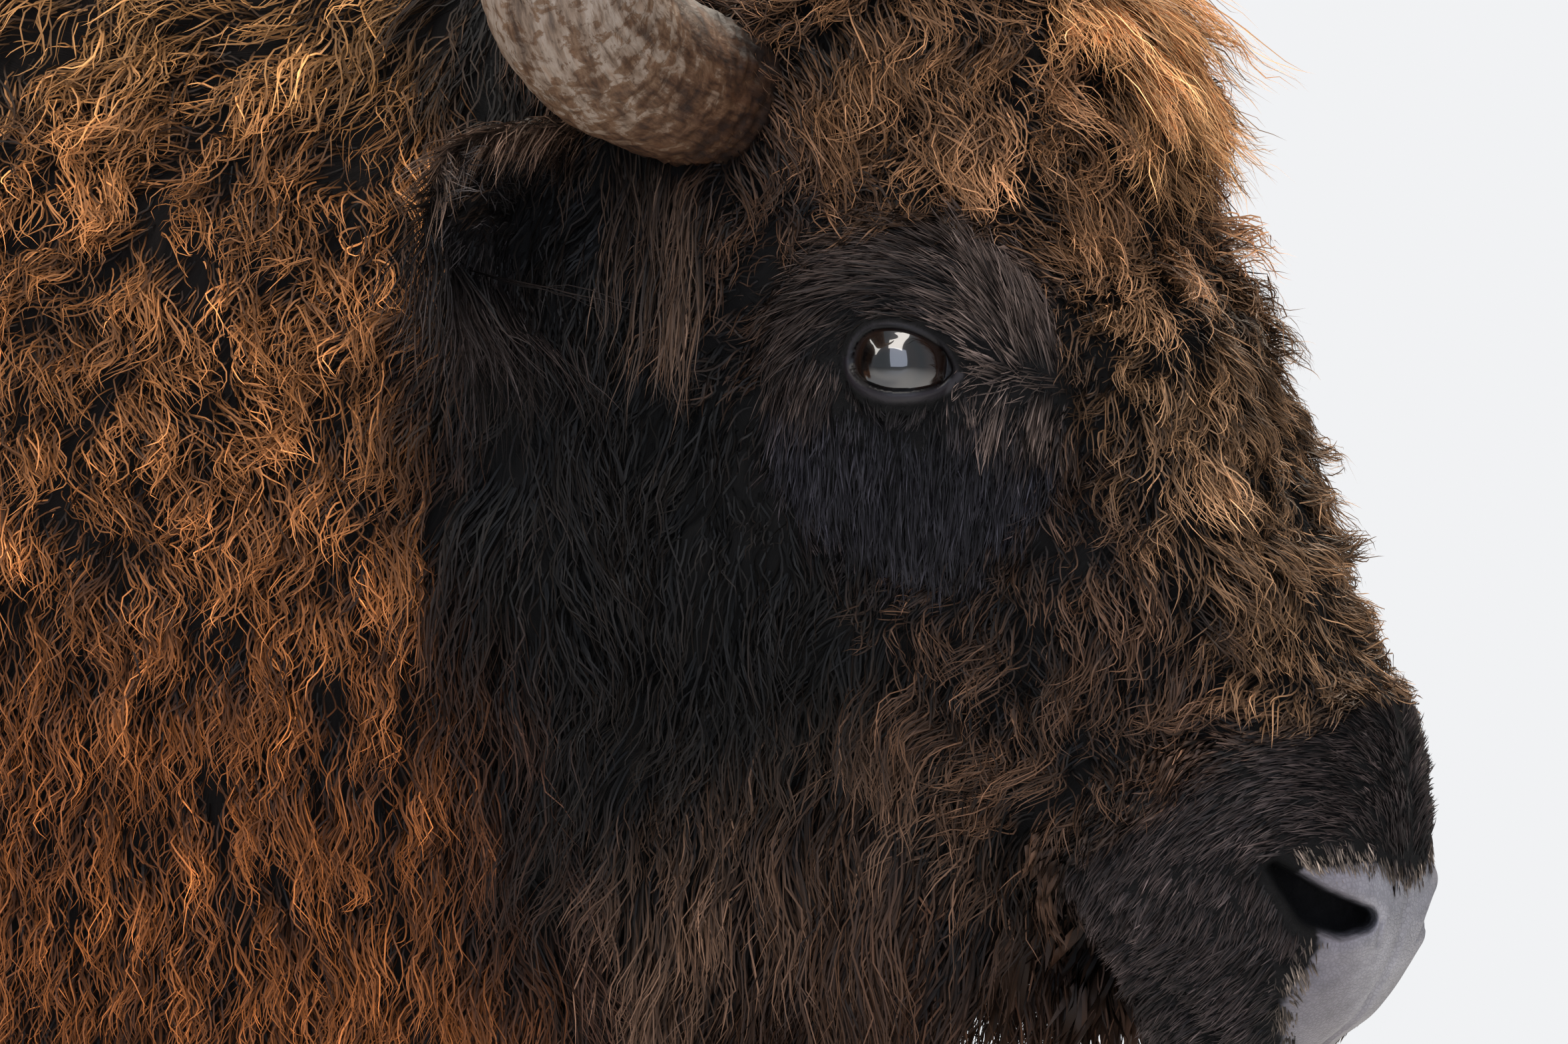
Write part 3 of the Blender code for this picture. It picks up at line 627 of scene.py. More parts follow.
def distanceTo(outline, places):
    best = np.full(len(places), 9.0)
    nearest = np.zeros_like(places)
    for start, end in zip(outline, np.roll(outline, -1, axis=0)):
        run = end - start
        t = np.clip(((places - start) @ run) / (run @ run), 0, 1)
        foot = start + t[:, None] * run
        gap = np.linalg.norm(places - foot, axis=1)
        closer = gap < best
        best[closer] = gap[closer]
        nearest[closer] = foot[closer]
    return best, nearest


def insideOutline(outline, places):
    crossings = np.zeros(len(places), int)
    for (x0, y0), (x1, y1) in zip(outline, np.roll(outline, -1, axis=0)):
        spans = (y0 > places[:, 1]) != (y1 > places[:, 1])
        crossings += spans & (places[:, 0] < (x1 - x0) * (places[:, 1] - y0) / (y1 - y0 + 1e-12) + x0)
    return crossings % 2 == 1


def eyeDirections(side):
    yaw, dip = math.radians(eyeForm["yaw"]), math.radians(eyeForm["dip"])
    level = np.array([math.cos(yaw), -math.sin(yaw) * side, 0.0])
    along = level * math.cos(dip) - np.array([0, 0, math.sin(dip)])
    up = level * math.sin(dip) + np.array([0, 0, math.cos(dip)])
    out = np.array([math.sin(yaw), math.cos(yaw) * side, 0.0])
    return along, up, out


def sculptLids(points):
    outline = eyeOutline()
    for sideName, side in sides.items():
        near = (points[:, 1] * side > 0) & besideEye(points, 0.050)
        along, up, out = (values[near] for values in fromEye(points))
        places = np.stack([along, up], axis=1)
        gap, nearest = distanceTo(outline, places)
        within = insideOutline(outline, places)
        snapped = gap < 0.00036
        places[snapped] = nearest[snapped]
        gap[snapped] = 0
        reach = (places**2).sum(axis=1)
        ball = np.sqrt(np.maximum(eyeRadius**2 - reach, 0.0060**2))
        shell = np.sqrt(np.maximum((eyeRadius + eyeForm["lidThickness"] + 0.0010) ** 2 - reach, 0))
        height = smoothMax(out, shell, 0.006)
        upper = places[:, 1] > 0
        height -= sum(np.where(upper == above, deep * bell(gap, away, wide), 0)
                      for above, deep, away, wide in eyeForm["creases"])
        rim = ball + 0.0014
        height = rim + (height - rim) * ramp(gap, -0.0012, 0.0032)
        corner = ramp(places[:, 0], 0.0165, 0.0200)  # the inner corner is filled with flesh
        floorHeight = (1 - corner) * (ball - 0.0045) + corner * (ball - 0.0012)
        sunk = rim + (floorHeight - rim) * ramp(gap, 0.0, 0.0011)
        height = np.where(within & ~snapped, sunk, height)
        blend = 1 - ramp(np.sqrt(reach), 0.036, 0.049)
        height = out + (height - out) * blend
        axes = eyeDirections(side)
        points[near] = (eyes[sideName] + places[:, :1] * axes[0] + places[:, 1:] * axes[1]
                        + height[:, None] * axes[2])
    return points


def slitDistance(across, up):
    # how far outside the nostril's slit a place is, less than zero inside it
    knots = np.array(nostrilForm["slit"])
    steps = np.linspace(0, len(knots) - 1, 40)
    line = np.stack([np.interp(steps, range(len(knots)), knots[:, k]) for k in range(3)], axis=1)
    best = np.full(len(across), 9.0)
    for x, y, half in line:
        best = np.minimum(best, np.hypot(across - x, up - y) - half)
    return best


mouth = {
    # down and out of the face: where the line between the lips starts and ends
    "line": ((0.405, -0.118), (0.536, -0.092)),
    "lineDepth": 0.0060,
    "upperLip": 0.0022,
    "lowerLip": 0.0016,
    "philtrum": 0.0018,
}


def sculptNose(points, normals):
    across, up, outwards = nostrilCoords(points)
    near = (across**2 + up**2 < 0.06**2) & (outwards > -0.035)
    gap = slitDistance(across, up)
    side = sideOf(points)
    inwards = np.stack([0 * side - viewRight[1], -side * viewRight[0], 0 * side], axis=1)
    hole = ramp(-gap, -0.0010, 0.0042) * nostrilForm["depth"]
    wing = 0.0034 * bell(gap, 0.0045, 0.0042) * (0.45 + 0.55 * ramp(up + 0.35 * across, -0.012, 0.008))
    notch = 0.0022 * bell(across - 0.0262 - 0.12 * (up + 0.013), 0, 0.0011)
    notch = notch * inside(up, -0.019, -0.010, 0.003)
    fold = 0.0016 * bell(gap, 0.0150, 0.0030) * ramp(-across, -0.004, 0.012)
    points = points + inwards * ((hole - wing + fold + notch) * near)[:, None]

    down, out, left = headCoords(points)
    philtrum = mouth["philtrum"] * bell(np.abs(left), 0, 0.0022)
    philtrum = philtrum * ramp(down, 0.478, 0.490) * ramp(out, -0.090, -0.080)
    start, end = np.array(mouth["line"])
    run = end - start
    place = np.stack([down, out], axis=1)
    t = np.clip(((place - start) @ run) / (run @ run), 0, 1)
    offset = place - start - t[:, None] * run
    lip, head = np.linalg.norm(offset, axis=1), headShare(points)
    line = mouth["lineDepth"] * bell(lip, 0, 0.0030) * head
    upper = mouth["upperLip"] * bell(lip, 0.010, 0.007) * (offset[:, 1] > 0) * head
    lower = mouth["lowerLip"] * bell(lip, 0.008, 0.006) * (offset[:, 1] < 0) * head
    return points + normals * ((upper - lower - line) * ramp(down, 0.37, 0.42) - philtrum)[:, None]


nosePad = {
    # from the nostril, in metres across and up: where hair ends above the pad, and at its rear edge
    "hairEdge": ((-0.0200, -0.0100), (-0.0130, 0.0100), (-0.0090, 0.0158), (0.0000, 0.0148), (0.0130, 0.0160),
                 (0.0195, 0.0166), (0.0287, 0.0142), (0.0340, 0.0090), (0.0417, 0.0058)),
    "rearEdge": ((-0.0430, -0.0150), (-0.0200, -0.0010), (-0.0080, -0.0020), (0.0100, -0.0150)),
}


def padShare(points):
    # 1 on the bare nose pad
    down, out, _ = headCoords(points)
    across, up, outwards = nostrilCoords(points)
    top = np.interp(across, *zip(*nosePad["hairEdge"]))
    rear = np.interp(up, *zip(*nosePad["rearEdge"]))
    uneven = 0.0008 * ripple(points, 0.007, 61)
    above = ramp(top - up + uneven, -0.0012, 0.0012)
    before = ramp(across - rear + uneven, -0.0022, 0.0022)
    front = ramp(out, -0.100, -0.092) * headShare(points) * (outwards > -0.09) * ramp(down, 0.43, 0.44)
    return above * before * front


def lidShare(points):
    # 1 on the bare rims of the lids and in the eye's opening
    along, up, out = fromEye(points)
    near = (along**2 + up**2 < 0.04**2) & (out > 0)
    gap = np.full(len(points), 0.03)
    places = np.stack([along, up], axis=1)[near]
    found, _ = distanceTo(eyeOutline()[::3], places)
    found[insideOutline(eyeOutline(), places)] *= -1
    gap[near] = found
    bare = np.where(up > 0, 0.0020, 0.0050)
    return 1 - ramp(gap, bare - 0.0015, bare + 0.0015), gap


def makeSkin():
    mesh = meltFlesh()
    print("melted flesh:", len(mesh.polygons), "faces")
    drawIn(mesh)
    refineSkin(mesh)
    points = sculptLids(getPoints(mesh))
    setPoints(mesh, points)
    points = sculptNose(points, getNormals(mesh))
    setPoints(mesh, points)
    bm = bmeshFrom(mesh)
    bmesh.ops.triangulate(bm, faces=bm.faces)
    for face in bm.faces:
        face.smooth = True
    bm.to_mesh(mesh)
    bm.free()
    mesh.name = "skin"
    return mesh


# Coat: every tuft is a bunch of flat tapering strands that share one curved path,
# and neighbouring tufts lean together into clumps, with dark gaps between them

coatPieces = {
    # zones, rows of points along a strand, triangles, the side where it grows
    "coat_crown": (("crown",), 8, 75000, None),
    "coat_nape": (("nape",), 9, 80000, None),
    "coat_forehead": (("forehead",), 10, 150000, None),
    "coat_bridge": (("bridge",), 9, 115000, None),
    "coat_eyePatch": (("eyePatch",), 7, 72000, None),
    "coat_cheek_right": (("cheek", "underEar", "temple"), 9, 160000, "right"),
    "coat_cheek_left": (("cheek", "underEar", "temple"), 6, 34000, "left"),
    "coat_jaw": (("jaw", "beard"), 9, 80000, None),
    "coat_muzzle": (("muzzle",), 6, 95000, None),
    "coat_nearHead": (("nearHead",), 8, 36000, None),
    "coat_neck_right": (("neck",), 10, 145000, "right"),
    "coat_neck_right_low": (("lowNeck",), 10, 135000, "right"),
    "coat_neck_left": (("neck", "lowNeck"), 6, 44000, "left"),
    "coat_shoulders": (("shoulder", "brisket"), 5, 78000, None),
    "coat_back": (("back",), 6, 66000, None),
    "coat_under": (("belly", "leg"), 6, 50000, None),
    "coat_tail": (("tail", "tuft"), 8, 15000, None),
}
straightPieces = ("coat_eyePatch", "coat_muzzle", "coat_back", "coat_under")
darkPieces = ("coat_forehead", "coat_bridge", "coat_eyePatch", "coat_cheek", "coat_muzzle", "coat_jaw",
              "coat_nearHead")

# which way the hair lies: forward, away from the middle, up
zoneLies = {
    "crown": (0.85, 0.15, -0.60), "forehead": (0.25, 0.50, -0.85), "bridge": (0.42, 0.35, -0.85),
    "cheek": (-0.70, 0.0, -0.75), "temple": (0.10, 0.3, -1.0), "underEar": (-0.30, 0.0, -1.0),
    "jaw": (-0.80, 0.0, -0.65), "beard": (-0.25, 0.0, -1.0), "nearHead": (-0.20, 0.0, -1.0),
    "neck": (-0.30, 0.0, -1.0), "lowNeck": (-0.15, 0.0, -1.0), "nape": (-0.75, 0.40, -0.60),
    "brisket": (-0.30, 0.0, -1.0), "shoulder": (-0.50, 0.0, -1.0), "back": (-1.0, 0.10, -0.55),
    "belly": (-0.80, 0.0, -0.60), "leg": (-0.12, 0.0, -1.0), "tail": (0.0, 0.0, -1.0),
    "tuft": (0.0, 0.0, -1.0), "muzzle": (0.0, 0.0, 0.0), "eyePatch": (0.0, 0.0, 0.0),
}
swirlSize = 0.10


def lieOfHair(points, normals, zones, sway):
    side = sideOf(points)
    lies = sum(weight[:, None] * np.array(zoneLies[name]) for name, weight in zones.items())
    lies[:, 1] *= side
    # round the eye the hair turns: up from the inner corner, back over the top, down behind
    along, up, out = fromEye(points)
    above = ramp(up, -0.014, 0.012)
    alongLie = -above * (up + 0.016) + (1 - above) * 0.12 * along
    upLie = above * (0.62 * along - 0.006) - (1 - above) * 0.045
    reach = patchDistance(points)
    overhang = ramp(reach, 0.90, 1.10) * (1 - ramp(reach, 1.25, 1.60)) * ramp(up, -0.045, 0.005)
    overhang = overhang * ramp(along, -0.05, 0.01) * headShare(points) * (out > -0.06)
    for sign in sides.values():
        axes = eyeDirections(sign)
        aroundEye = unit(alongLie[:, None] * axes[0] + upLie[:, None] * axes[1])
        lies += aroundEye * (zones["eyePatch"] * (side == sign))[:, None]
        # the curls above and before the patch hang over its edge
        inwards = darkPatch["middle"] - np.stack([along, up], axis=1)
        towardsEye = unit(inwards[:, :1] * axes[0] + inwards[:, 1:] * axes[1])
        lies += towardsEye * (1.5 * overhang * (side == sign))[:, None]
    # on the muzzle it sweeps round the nostril, back over the top and then down
    across, rise, _ = nostrilCoords(points)
    reach = np.maximum(np.hypot(across, rise), 0.006)
    sweep = ramp(rise, -0.022, 0.0) * 0.9
    acrossLie = sweep * (-rise / reach) + 0.35 * across / reach - 0.45
    riseLie = sweep * (across / reach) + 0.35 * rise / reach - 0.40
    acrossWay = np.stack([0 * side + viewRight[0], -side * viewRight[1], 0 * side], axis=1)
    aroundNose = unit(acrossLie[:, None] * acrossWay + riseLie[:, None] * np.array([0, 0, 1.0]))
    edge = ramp(padShare(points + 0.012 * faceDown), 0.2, 0.8)[:, None]  # beside the pad it points at the pad
    aroundNose = aroundNose * (1 - edge) + edge * (faceDown - 0.2 * faceOut)
    lies += unit(aroundNose) * zones["muzzle"][:, None]
    lies += sway[:, None] * np.stack([ripple(points, swirlSize, seed) for seed in (5, 6, 7)], axis=1)
    return alongSurface(lies, normals)


def coarseness(points):
    # strands get wider and fewer away from the head's right side, where they are seen from further off
    x, y, z = (points - originShift).T
    away = ramp(np.hypot(x - 1.12, z - 1.22), 0.55, 0.80)
    far = ramp(y, 0.02, 0.10)
    return 1 + 0.60 * np.maximum(away, far)


def surfaceOf(mesh, uvName):
    points = getPoints(mesh)
    triangles = readAll(mesh.polygons, "vertices", 3, np.int32)
    corners = points[triangles]
    cross = np.cross(corners[:, 1] - corners[:, 0], corners[:, 2] - corners[:, 0])
    return {
        "points": points,
        "triangles": triangles,
        "normals": getNormals(mesh),
        "middles": corners.mean(axis=1),
        "areas": np.linalg.norm(cross, axis=1) / 2,
        "faceNormals": unit(cross),
        "uvs": readAll(mesh.uv_layers[uvName].uv, "vector", 2).reshape(-1, 3, 2),
    }


def scatter(surface, density, rng):
    # places on the surface, so many to the square metre, with their normals and unwrapped places
    reach = np.cumsum(surface["areas"] * density)
    count = int(reach[-1])
    marks = (np.arange(count) + rng.uniform(0, 1, count)) * reach[-1] / max(count, 1)
    chosen = np.clip(np.searchsorted(reach, marks), 0, len(reach) - 1)
    a, b = np.sqrt(rng.uniform(0, 1, count)), rng.uniform(0, 1, count)
    shares = np.stack([1 - a, a * (1 - b), a * b], axis=1)[:, :, None]
    corners = surface["triangles"][chosen]
    roots = (surface["points"][corners] * shares).sum(axis=1)
    normals = unit((surface["normals"][corners] * shares).sum(axis=1))
    uvs = (surface["uvs"][chosen] * shares).sum(axis=1)
    return roots, normals, uvs


def clumpsOf(roots, recipe, rng):
    # the root that each tuft leans towards: one in so many of the roots is the middle of a clump
    leads = np.flatnonzero(rng.uniform(0, 1, len(roots)) < (recipe["spacing"] / recipe["clump"]) ** 2)
    if len(leads) == 0:
        return np.arange(len(roots))
    tree = KDTree(len(leads))
    for number, lead in enumerate(leads):
        tree.insert(roots[lead], number)
    tree.balance()
    return leads[[tree.find(root)[1] for root in roots]]


def tuftPaths(roots, normals, lies, recipe, rows, rng):
    # the path that a tuft's strands share, row by row, and the direction across it
    count = len(roots)
    lead = clumpsOf(roots, recipe, rng)
    lift = np.radians(recipe["lift"]) * rng.uniform(0.7, 1.3, count)[lead] * rng.uniform(0.85, 1.15, count)
    across = np.cross(normals, lies)
    heading = lies * np.cos(lift)[:, None] + normals * np.sin(lift)[:, None]
    aside = 0.55 * recipe["sway"] * rng.normal(0, 1, count)[lead] + rng.normal(0, 0.12, count)
    heading = unit(heading + across * aside[:, None])
    length = recipe["length"] * rng.uniform(0.75, 1.15, count)[lead] * rng.uniform(0.85, 1.12, count)
    step = (length / (rows - 1))[:, None]
    hang = recipe["hang"][:, None] * 2.2 / (rows - 1)
    phase = rng.uniform(0, 2 * math.pi, count)[lead] + rng.normal(0, 0.6, count)
    wave = recipe["wave"] * rng.uniform(0.8, 1.3, count)[lead]
    lean = (roots[lead] - roots) * recipe["lean"][:, None]
    lean -= (lean * normals).sum(axis=1, keepdims=True) * normals
    furthest = 0.45 * recipe["clump"] / np.maximum(np.linalg.norm(lean, axis=1), 1e-6)
    lean *= np.minimum(1, furthest)[:, None]
    path = [roots - normals * np.minimum(0.0015, 0.05 * length)[:, None]]
    for row in range(1, rows):
        heading = heading + np.array([0, 0, -1.0]) * hang - normals * (np.sin(lift)[:, None] * 0.5 / (rows - 1))
        sinking = (heading * normals).sum(axis=1, keepdims=True)
        heading = unit(heading + normals * np.maximum(0.04 - sinking, 0))
        path.append(path[-1] + heading * step)
    swung = [path[0]]
    for row in range(1, rows):
        t = row / (rows - 1)
        turn = 2 * math.pi * t * length / wave + phase
        swing = recipe["curl"] * min(1.0, 2.2 * t)
        offset = across * (swing * np.sin(turn))[:, None] + normals * (0.7 * swing * np.cos(turn))[:, None]
        swung.append(path[row] + offset + lean * t**1.2)
    return np.stack(swung, axis=1), across, lead


def strandsFrom(roots, normals, lies, recipe, rows, rng):
    paths, across, lead = tuftPaths(roots, normals, lies, recipe, rows, rng)
    strands = np.maximum(np.round(recipe["strands"] * rng.uniform(0.8, 1.2, len(roots))), 1).astype(int)
    tuft = np.repeat(np.arange(len(roots)), strands)
    count = len(tuft)
    radius = np.sqrt(rng.uniform(0, 1, count)) * recipe["spread"][tuft]
    turn = rng.uniform(0, 2 * math.pi, count)
    spreadOut = across[tuft] * (radius * np.cos(turn))[:, None] + lies[tuft] * (radius * np.sin(turn))[:, None]
    start = rng.uniform(0, 1, count) * recipe["stagger"][tuft]
    share = rng.uniform(0.62, 1.06, count)  # how much of the tuft's length a strand has
    drift = rng.normal(0, 1, (count, 3)) * (0.05 * recipe["length"][tuft])[:, None]
    t = np.linspace(0, 1, rows)
    along = start[:, None] + (share - start)[:, None] * t[None, :]
    reach = along * (rows - 1)
    lower = np.minimum(reach.astype(int), rows - 2)
    part = (reach - lower)[:, :, None]
    rowsOf = paths[tuft]
    index = np.arange(count)[:, None]
    spine = rowsOf[index, lower] * (1 - part) + rowsOf[index, lower + 1] * part
    gather = recipe["gather"][tuft][:, None, None] * (np.minimum(along, 1) ** 1.2)[:, :, None]
    spine = spine + spreadOut[:, None, :] * (1 - gather) + drift[:, None, :] * (along**2)[:, :, None]
    # each strand has small waves of its own
    turns = 2 * math.pi * recipe["length"][tuft] / recipe["kink"][tuft] * rng.uniform(0.7, 1.3, count)
    for way, stretch in ((across, 1.0), (normals, 0.8), (lies, 1.27)):
        wave = np.sin(along * turns[:, None] * stretch + rng.uniform(0, 2 * math.pi, count)[:, None])
        size = recipe["frizz"][tuft] * rng.uniform(0.4, 1.4, count)
        spine = spine + way[tuft][:, None, :] * (wave * size[:, None] * np.minimum(1, 3 * along))[:, :, None]
    return spine, tuft, lead, along


strandLook = {
    "turn": 0.55,  # how far strands are turned about their length, in radians
    "unevenTuft": 0.24,
    "unevenClump": 0.24,
    "unevenStrand": 0.38,
    "paleShare": 0.03,
    "pale": 1.8,
    "patch": (0.0012, 0.0026),  # each tuft's place on the unwrapped skin, across and along
}


def coatMesh(name, straight, spine, along, tuft, normals, uvs, recipe, roots, tips, shade, rng):
    # flat strands, each a strip of triangles down to a single tip, with colour and unwrapped place
    count, rows = spine.shape[:2]
    heading = unit(np.gradient(spine, axis=1))
    turn = rng.normal(0, strandLook["turn"], count)
    lateral = unit(np.cross(heading, normals[tuft][:, None, :]))
    upright = np.cross(lateral, heading)
    flat = lateral * np.cos(turn)[:, None, None] + upright * np.sin(turn)[:, None, None]
    # straight hair needs one point a row, left and right in turn; waved hair has a pair at each row
    if straight:
        row = np.arange(rows)
    else:
        row = np.append(np.repeat(np.arange(rows - 1), 2), rows - 1)
    corners = len(row)
    sideways = np.where(np.arange(corners) % 2 == 0, -1.0, 1.0)
    sideways[-1] = 0
    t = row / (rows - 1)
    half = 0.5 * recipe["width"][tuft][:, None] * (0.80 + 0.20 * np.sin(math.pi * t) - 0.60 * t**2)[None, :]
    points = spine[:, row] + flat[:, row] * (half * sideways)[:, :, None]
    pattern = [(k, k + 1, k + 2) if k % 2 == 0 else (k, k + 2, k + 1) for k in range(corners - 2)]
    faces = (np.arange(count)[:, None, None] * corners + np.array(pattern)[None]).reshape(-1, 3)

    # from root to tip: near black low on each strand, partly the hair's own colour and partly painted shade
    # deep in the coat
    dark = recipe["dark"][tuft][:, None] + rng.normal(0, 0.10, count)[:, None]
    mix = ramp(along[:, row], dark - 0.35, dark + 0.45)[:, :, None]
    colours = roots[tuft][:, None, :] * (1 - mix) + tips[tuft][:, None, :] * mix
    uneven = np.exp(rng.normal(0, strandLook["unevenStrand"], count))
    uneven = uneven * np.where(rng.uniform(0, 1, count) < strandLook["paleShare"], strandLook["pale"], 1.0)
    colours = colours * (shade[tuft] * uneven)[:, None, None]
    colours = np.concatenate([colours, np.ones((count, corners, 1))], axis=2)

    wide, tall = strandLook["patch"]
    patch = np.stack([sideways * wide, (t - 0.5) * tall], axis=1)
    unwrapped = uvs[tuft][:, None, :] + patch[None, :, :]

    mesh = bpy.data.meshes.new(name)
    mesh.vertices.add(count * corners)
    mesh.vertices.foreach_set("co", points.astype(np.float32).ravel())
    mesh.loops.add(len(faces) * 3)
    mesh.loops.foreach_set("vertex_index", faces.astype(np.int32).ravel())
    mesh.polygons.add(len(faces))
    mesh.polygons.foreach_set("loop_start", np.arange(0, len(faces) * 3, 3, dtype=np.int32))
    mesh.update(calc_edges=True)
    mesh.polygons.foreach_set("use_smooth", np.ones(len(faces), bool))
    tint = mesh.color_attributes.new("coatTint", "FLOAT_COLOR", "POINT")
    tint.data.foreach_set("color", colours.astype(np.float32).ravel())
    layer = mesh.uv_layers.new(name="OFBake")
    layer.uv.foreach_set("vector", unwrapped.reshape(-1, 2)[faces.ravel()].astype(np.float32).ravel())
    mesh.validate()
    return mesh


def bareShare(points):
    across, up, outwards = nostrilCoords(points)
    hole = (slitDistance(across, up) < 0.002) & (outwards > -0.05) & (headShare(points) > 0.9)
    horn = np.array(hornForm["path"][1][:3]) + originShift
    aroundHorn = np.hypot(points[:, 0] - horn[0], points[:, 2] - horn[2])
    underHorn = (aroundHorn < 0.024) & (np.abs(points[:, 1]) > 0.09)
    return np.maximum.reduce([lidShare(points)[0], padShare(points), hole * 1.0, underHorn * 1.0])


def keepClear(spine):
    # strands that would hang over an eye's opening or into a nostril are left out
    flat = spine.reshape(-1, 3)
    along, up, out = fromEye(flat)
    overEye = ((along / 0.026) ** 2 + ((up - 0.001) / 0.019) ** 2 < 1) & (out > 0.004)
    across, rise, outwards = nostrilCoords(flat)
    overNose = (slitDistance(across, rise) < 0.001) & (outwards > -0.02) & (headShare(flat) > 0.9)
    return ~(overEye | overNose).reshape(spine.shape[:2]).any(axis=1)


def trimLength(points):
    # the coat shortens towards bare skin
    _, gap = lidShare(points)
    down, _, _ = headCoords(points)
    reach = patchDistance(points)
    brow = ramp(reach, 0.80, 1.0) * (1 - ramp(reach, 1.0, 1.45)) * headShare(points)
    padEdge = ramp(padShare(points + 0.014 * faceDown), 0.1, 0.9)
    zones = zoneWeights(points)
    chin = ramp(down, 0.38, 0.47) * zones["beard"]
    nose = ramp(down, 0.29, 0.39) * (zones["bridge"] + 0.6 * zones["cheek"])
    nearBare = (0.30 + 0.70 * ramp(gap, 0.004, 0.026)) * (1 - 0.45 * brow) * (1 - 0.40 * padEdge)
    return nearBare * (1 - 0.55 * chin) * (1 - 0.45 * nose)


markColours = {"padRim": "#7f7165", "innerCorner": "#6b5b53", "belowEye": "#2a282d", "lowNeck": "#8f5026"}


def markings(points, zones, rootTint, tipTint):
    # colour that doesn't follow the zones: a pale rim round the nose pad, a grey inner corner to the eye
    # and black below it, darker round the eye's patch, redder low on the neck
    marks = {name: linear(colour) for name, colour in markColours.items()}
    rim = np.clip(padShare(points + 0.010 * faceDown) - padShare(points), 0, 1)
    rim = rim * (1 - ramp(np.abs(points[:, 1]), 0.065, 0.085))
    along, up, _ = fromEye(points)
    greyer = zones["eyePatch"] * ramp(along, 0.020, 0.036) * ramp(up, -0.024, 0.0)
    blacker = zones["eyePatch"] * ramp(-up, 0.008, 0.026) * (1 - greyer)
    nearPatch = (1 - ramp(patchDistance(points), 1.05, 1.40)) * (1 - zones["eyePatch"]) * headShare(points)
    lowNeck = (zones["neck"] + zones["shoulder"]) * (1 - ramp(points[:, 2], 1.05, 1.40))
    rootTint = tinted(rootTint, 0.6 * rim, 0.5 * marks["padRim"])
    tipTint = tinted(tipTint, 0.75 * rim, marks["padRim"])
    tipTint = tinted(tipTint, greyer, marks["innerCorner"])
    tipTint = tinted(tipTint, blacker, marks["belowEye"])
    tipTint = tinted(tipTint, 0.5 * nearPatch, 0)
    return rootTint, tinted(tipTint, 0.6 * lowNeck, marks["lowNeck"])


def describeSkinCoat(roots, normals):
    zones = zoneWeights(roots)
    recipe = {key: blended(zones, key) for key in hairNumbers}
    coarse = coarseness(roots)
    recipe["width"] = recipe["width"] * coarse
    recipe["length"] = recipe["length"] * trimLength(roots)
    tints = markings(roots, zones, blendedColour(zones, "root"), blendedColour(zones, "tip"))
    return recipe, lieOfHair(roots, normals, zones, recipe["sway"]), tints


# some tufts are undercoat, which stays where it grows and covers the hide between the clumps
undercoat = {"share": 0.24, "length": 0.66, "lean": 0.0, "gather": 0.15, "spread": 1.8, "lift": 0.8}


def plantCoat(name, surface, density, describe, rows, triangles, seed, nearFeatures):
    rng = np.random.default_rng(seed)
    recipe = describe(surface["middles"], surface["faceNormals"])[0]
    straight = name in straightPieces
    wanted = (surface["areas"] * density * recipe["strands"]).sum() * (rows - 2 if straight else 2 * rows - 3)
    share = triangles / wanted
    roots, normals, uvs = scatter(surface, density * share**0.3, rng)
    recipe, lies, (rootTint, tipTint) = describe(roots, normals)
    recipe["strands"] = recipe["strands"] * share**0.7
    recipe["width"] = recipe["width"] * np.clip(share**-0.3, 0.85, 1.35)
    under = rng.uniform(0, 1, len(roots)) < undercoat["share"]
    for key in ("length", "lean", "gather", "spread", "lift"):
        recipe[key] = recipe[key] * np.where(under, undercoat[key], 1.0)
    spine, tuft, lead, along = strandsFrom(roots, normals, lies, recipe, rows, rng)
    if nearFeatures:
        keep = keepClear(spine)
        spine, tuft, along = spine[keep], tuft[keep], along[keep]
    count = len(roots)
    shade = np.exp(rng.normal(0, strandLook["unevenTuft"], count))
    shade = shade * np.exp(rng.normal(0, strandLook["unevenClump"], count))[lead]
    shade = shade * (1 + 0.20 * ripple(roots, 0.07, 21))
    mesh = coatMesh(name, straight, spine, along, tuft, normals, uvs, recipe, rootTint, tipTint, shade, rng)
    print(name, count, "tufts,", len(mesh.polygons), "triangles,", "%.2f of the wanted" % share)
    mesh.materials.append(coatMaterial)
    return addPiece(name, mesh, ())


def growCoat(surface):
    middles = surface["middles"]
    zones = zoneWeights(middles)
    shown = (1 - bareShare(middles)) / coarseness(middles) ** 2
    for seed, (name, (zoneNames, rows, triangles, sideName)) in enumerate(coatPieces.items()):
        density = shown * sum(zones[zone] / hairNumbers["spacing"][zone] ** 2 for zone in zoneNames)
        if sideName:
            density = density * ((middles[:, 1] >= 0) == (sides[sideName] > 0))
        slot = "coat_dark" if name.startswith(darkPieces) else "coat_brown"
        plantCoat(name, surface, density, describeSkinCoat, rows, triangles, seed, slot == "coat_dark")


def makeCoatMaterial():
    # winter hair: matte, with a weak shine along each strand, coloured strand by strand
    material, node, shader = newMaterial("winter_hair", {
        "Roughness": 0.55, "Specular IOR Level": 0.22, "Sheen Weight": 0.0,
    })
    feed(shader, {"Base Color": node("VertexColor", {"layer_name": "coatTint"})})
    return material


def unwrap(piece, uvName):
    bpy.context.view_layer.objects.active = piece
    piece.select_set(True)
    piece.data.uv_layers.new(name=uvName)
    bpy.ops.object.mode_set(mode="EDIT")
    bpy.ops.mesh.select_all(action="SELECT")
    bpy.ops.uv.smart_project(angle_limit=math.radians(66), island_margin=0.002)
    bpy.ops.object.mode_set(mode="OBJECT")
    piece.select_set(False)


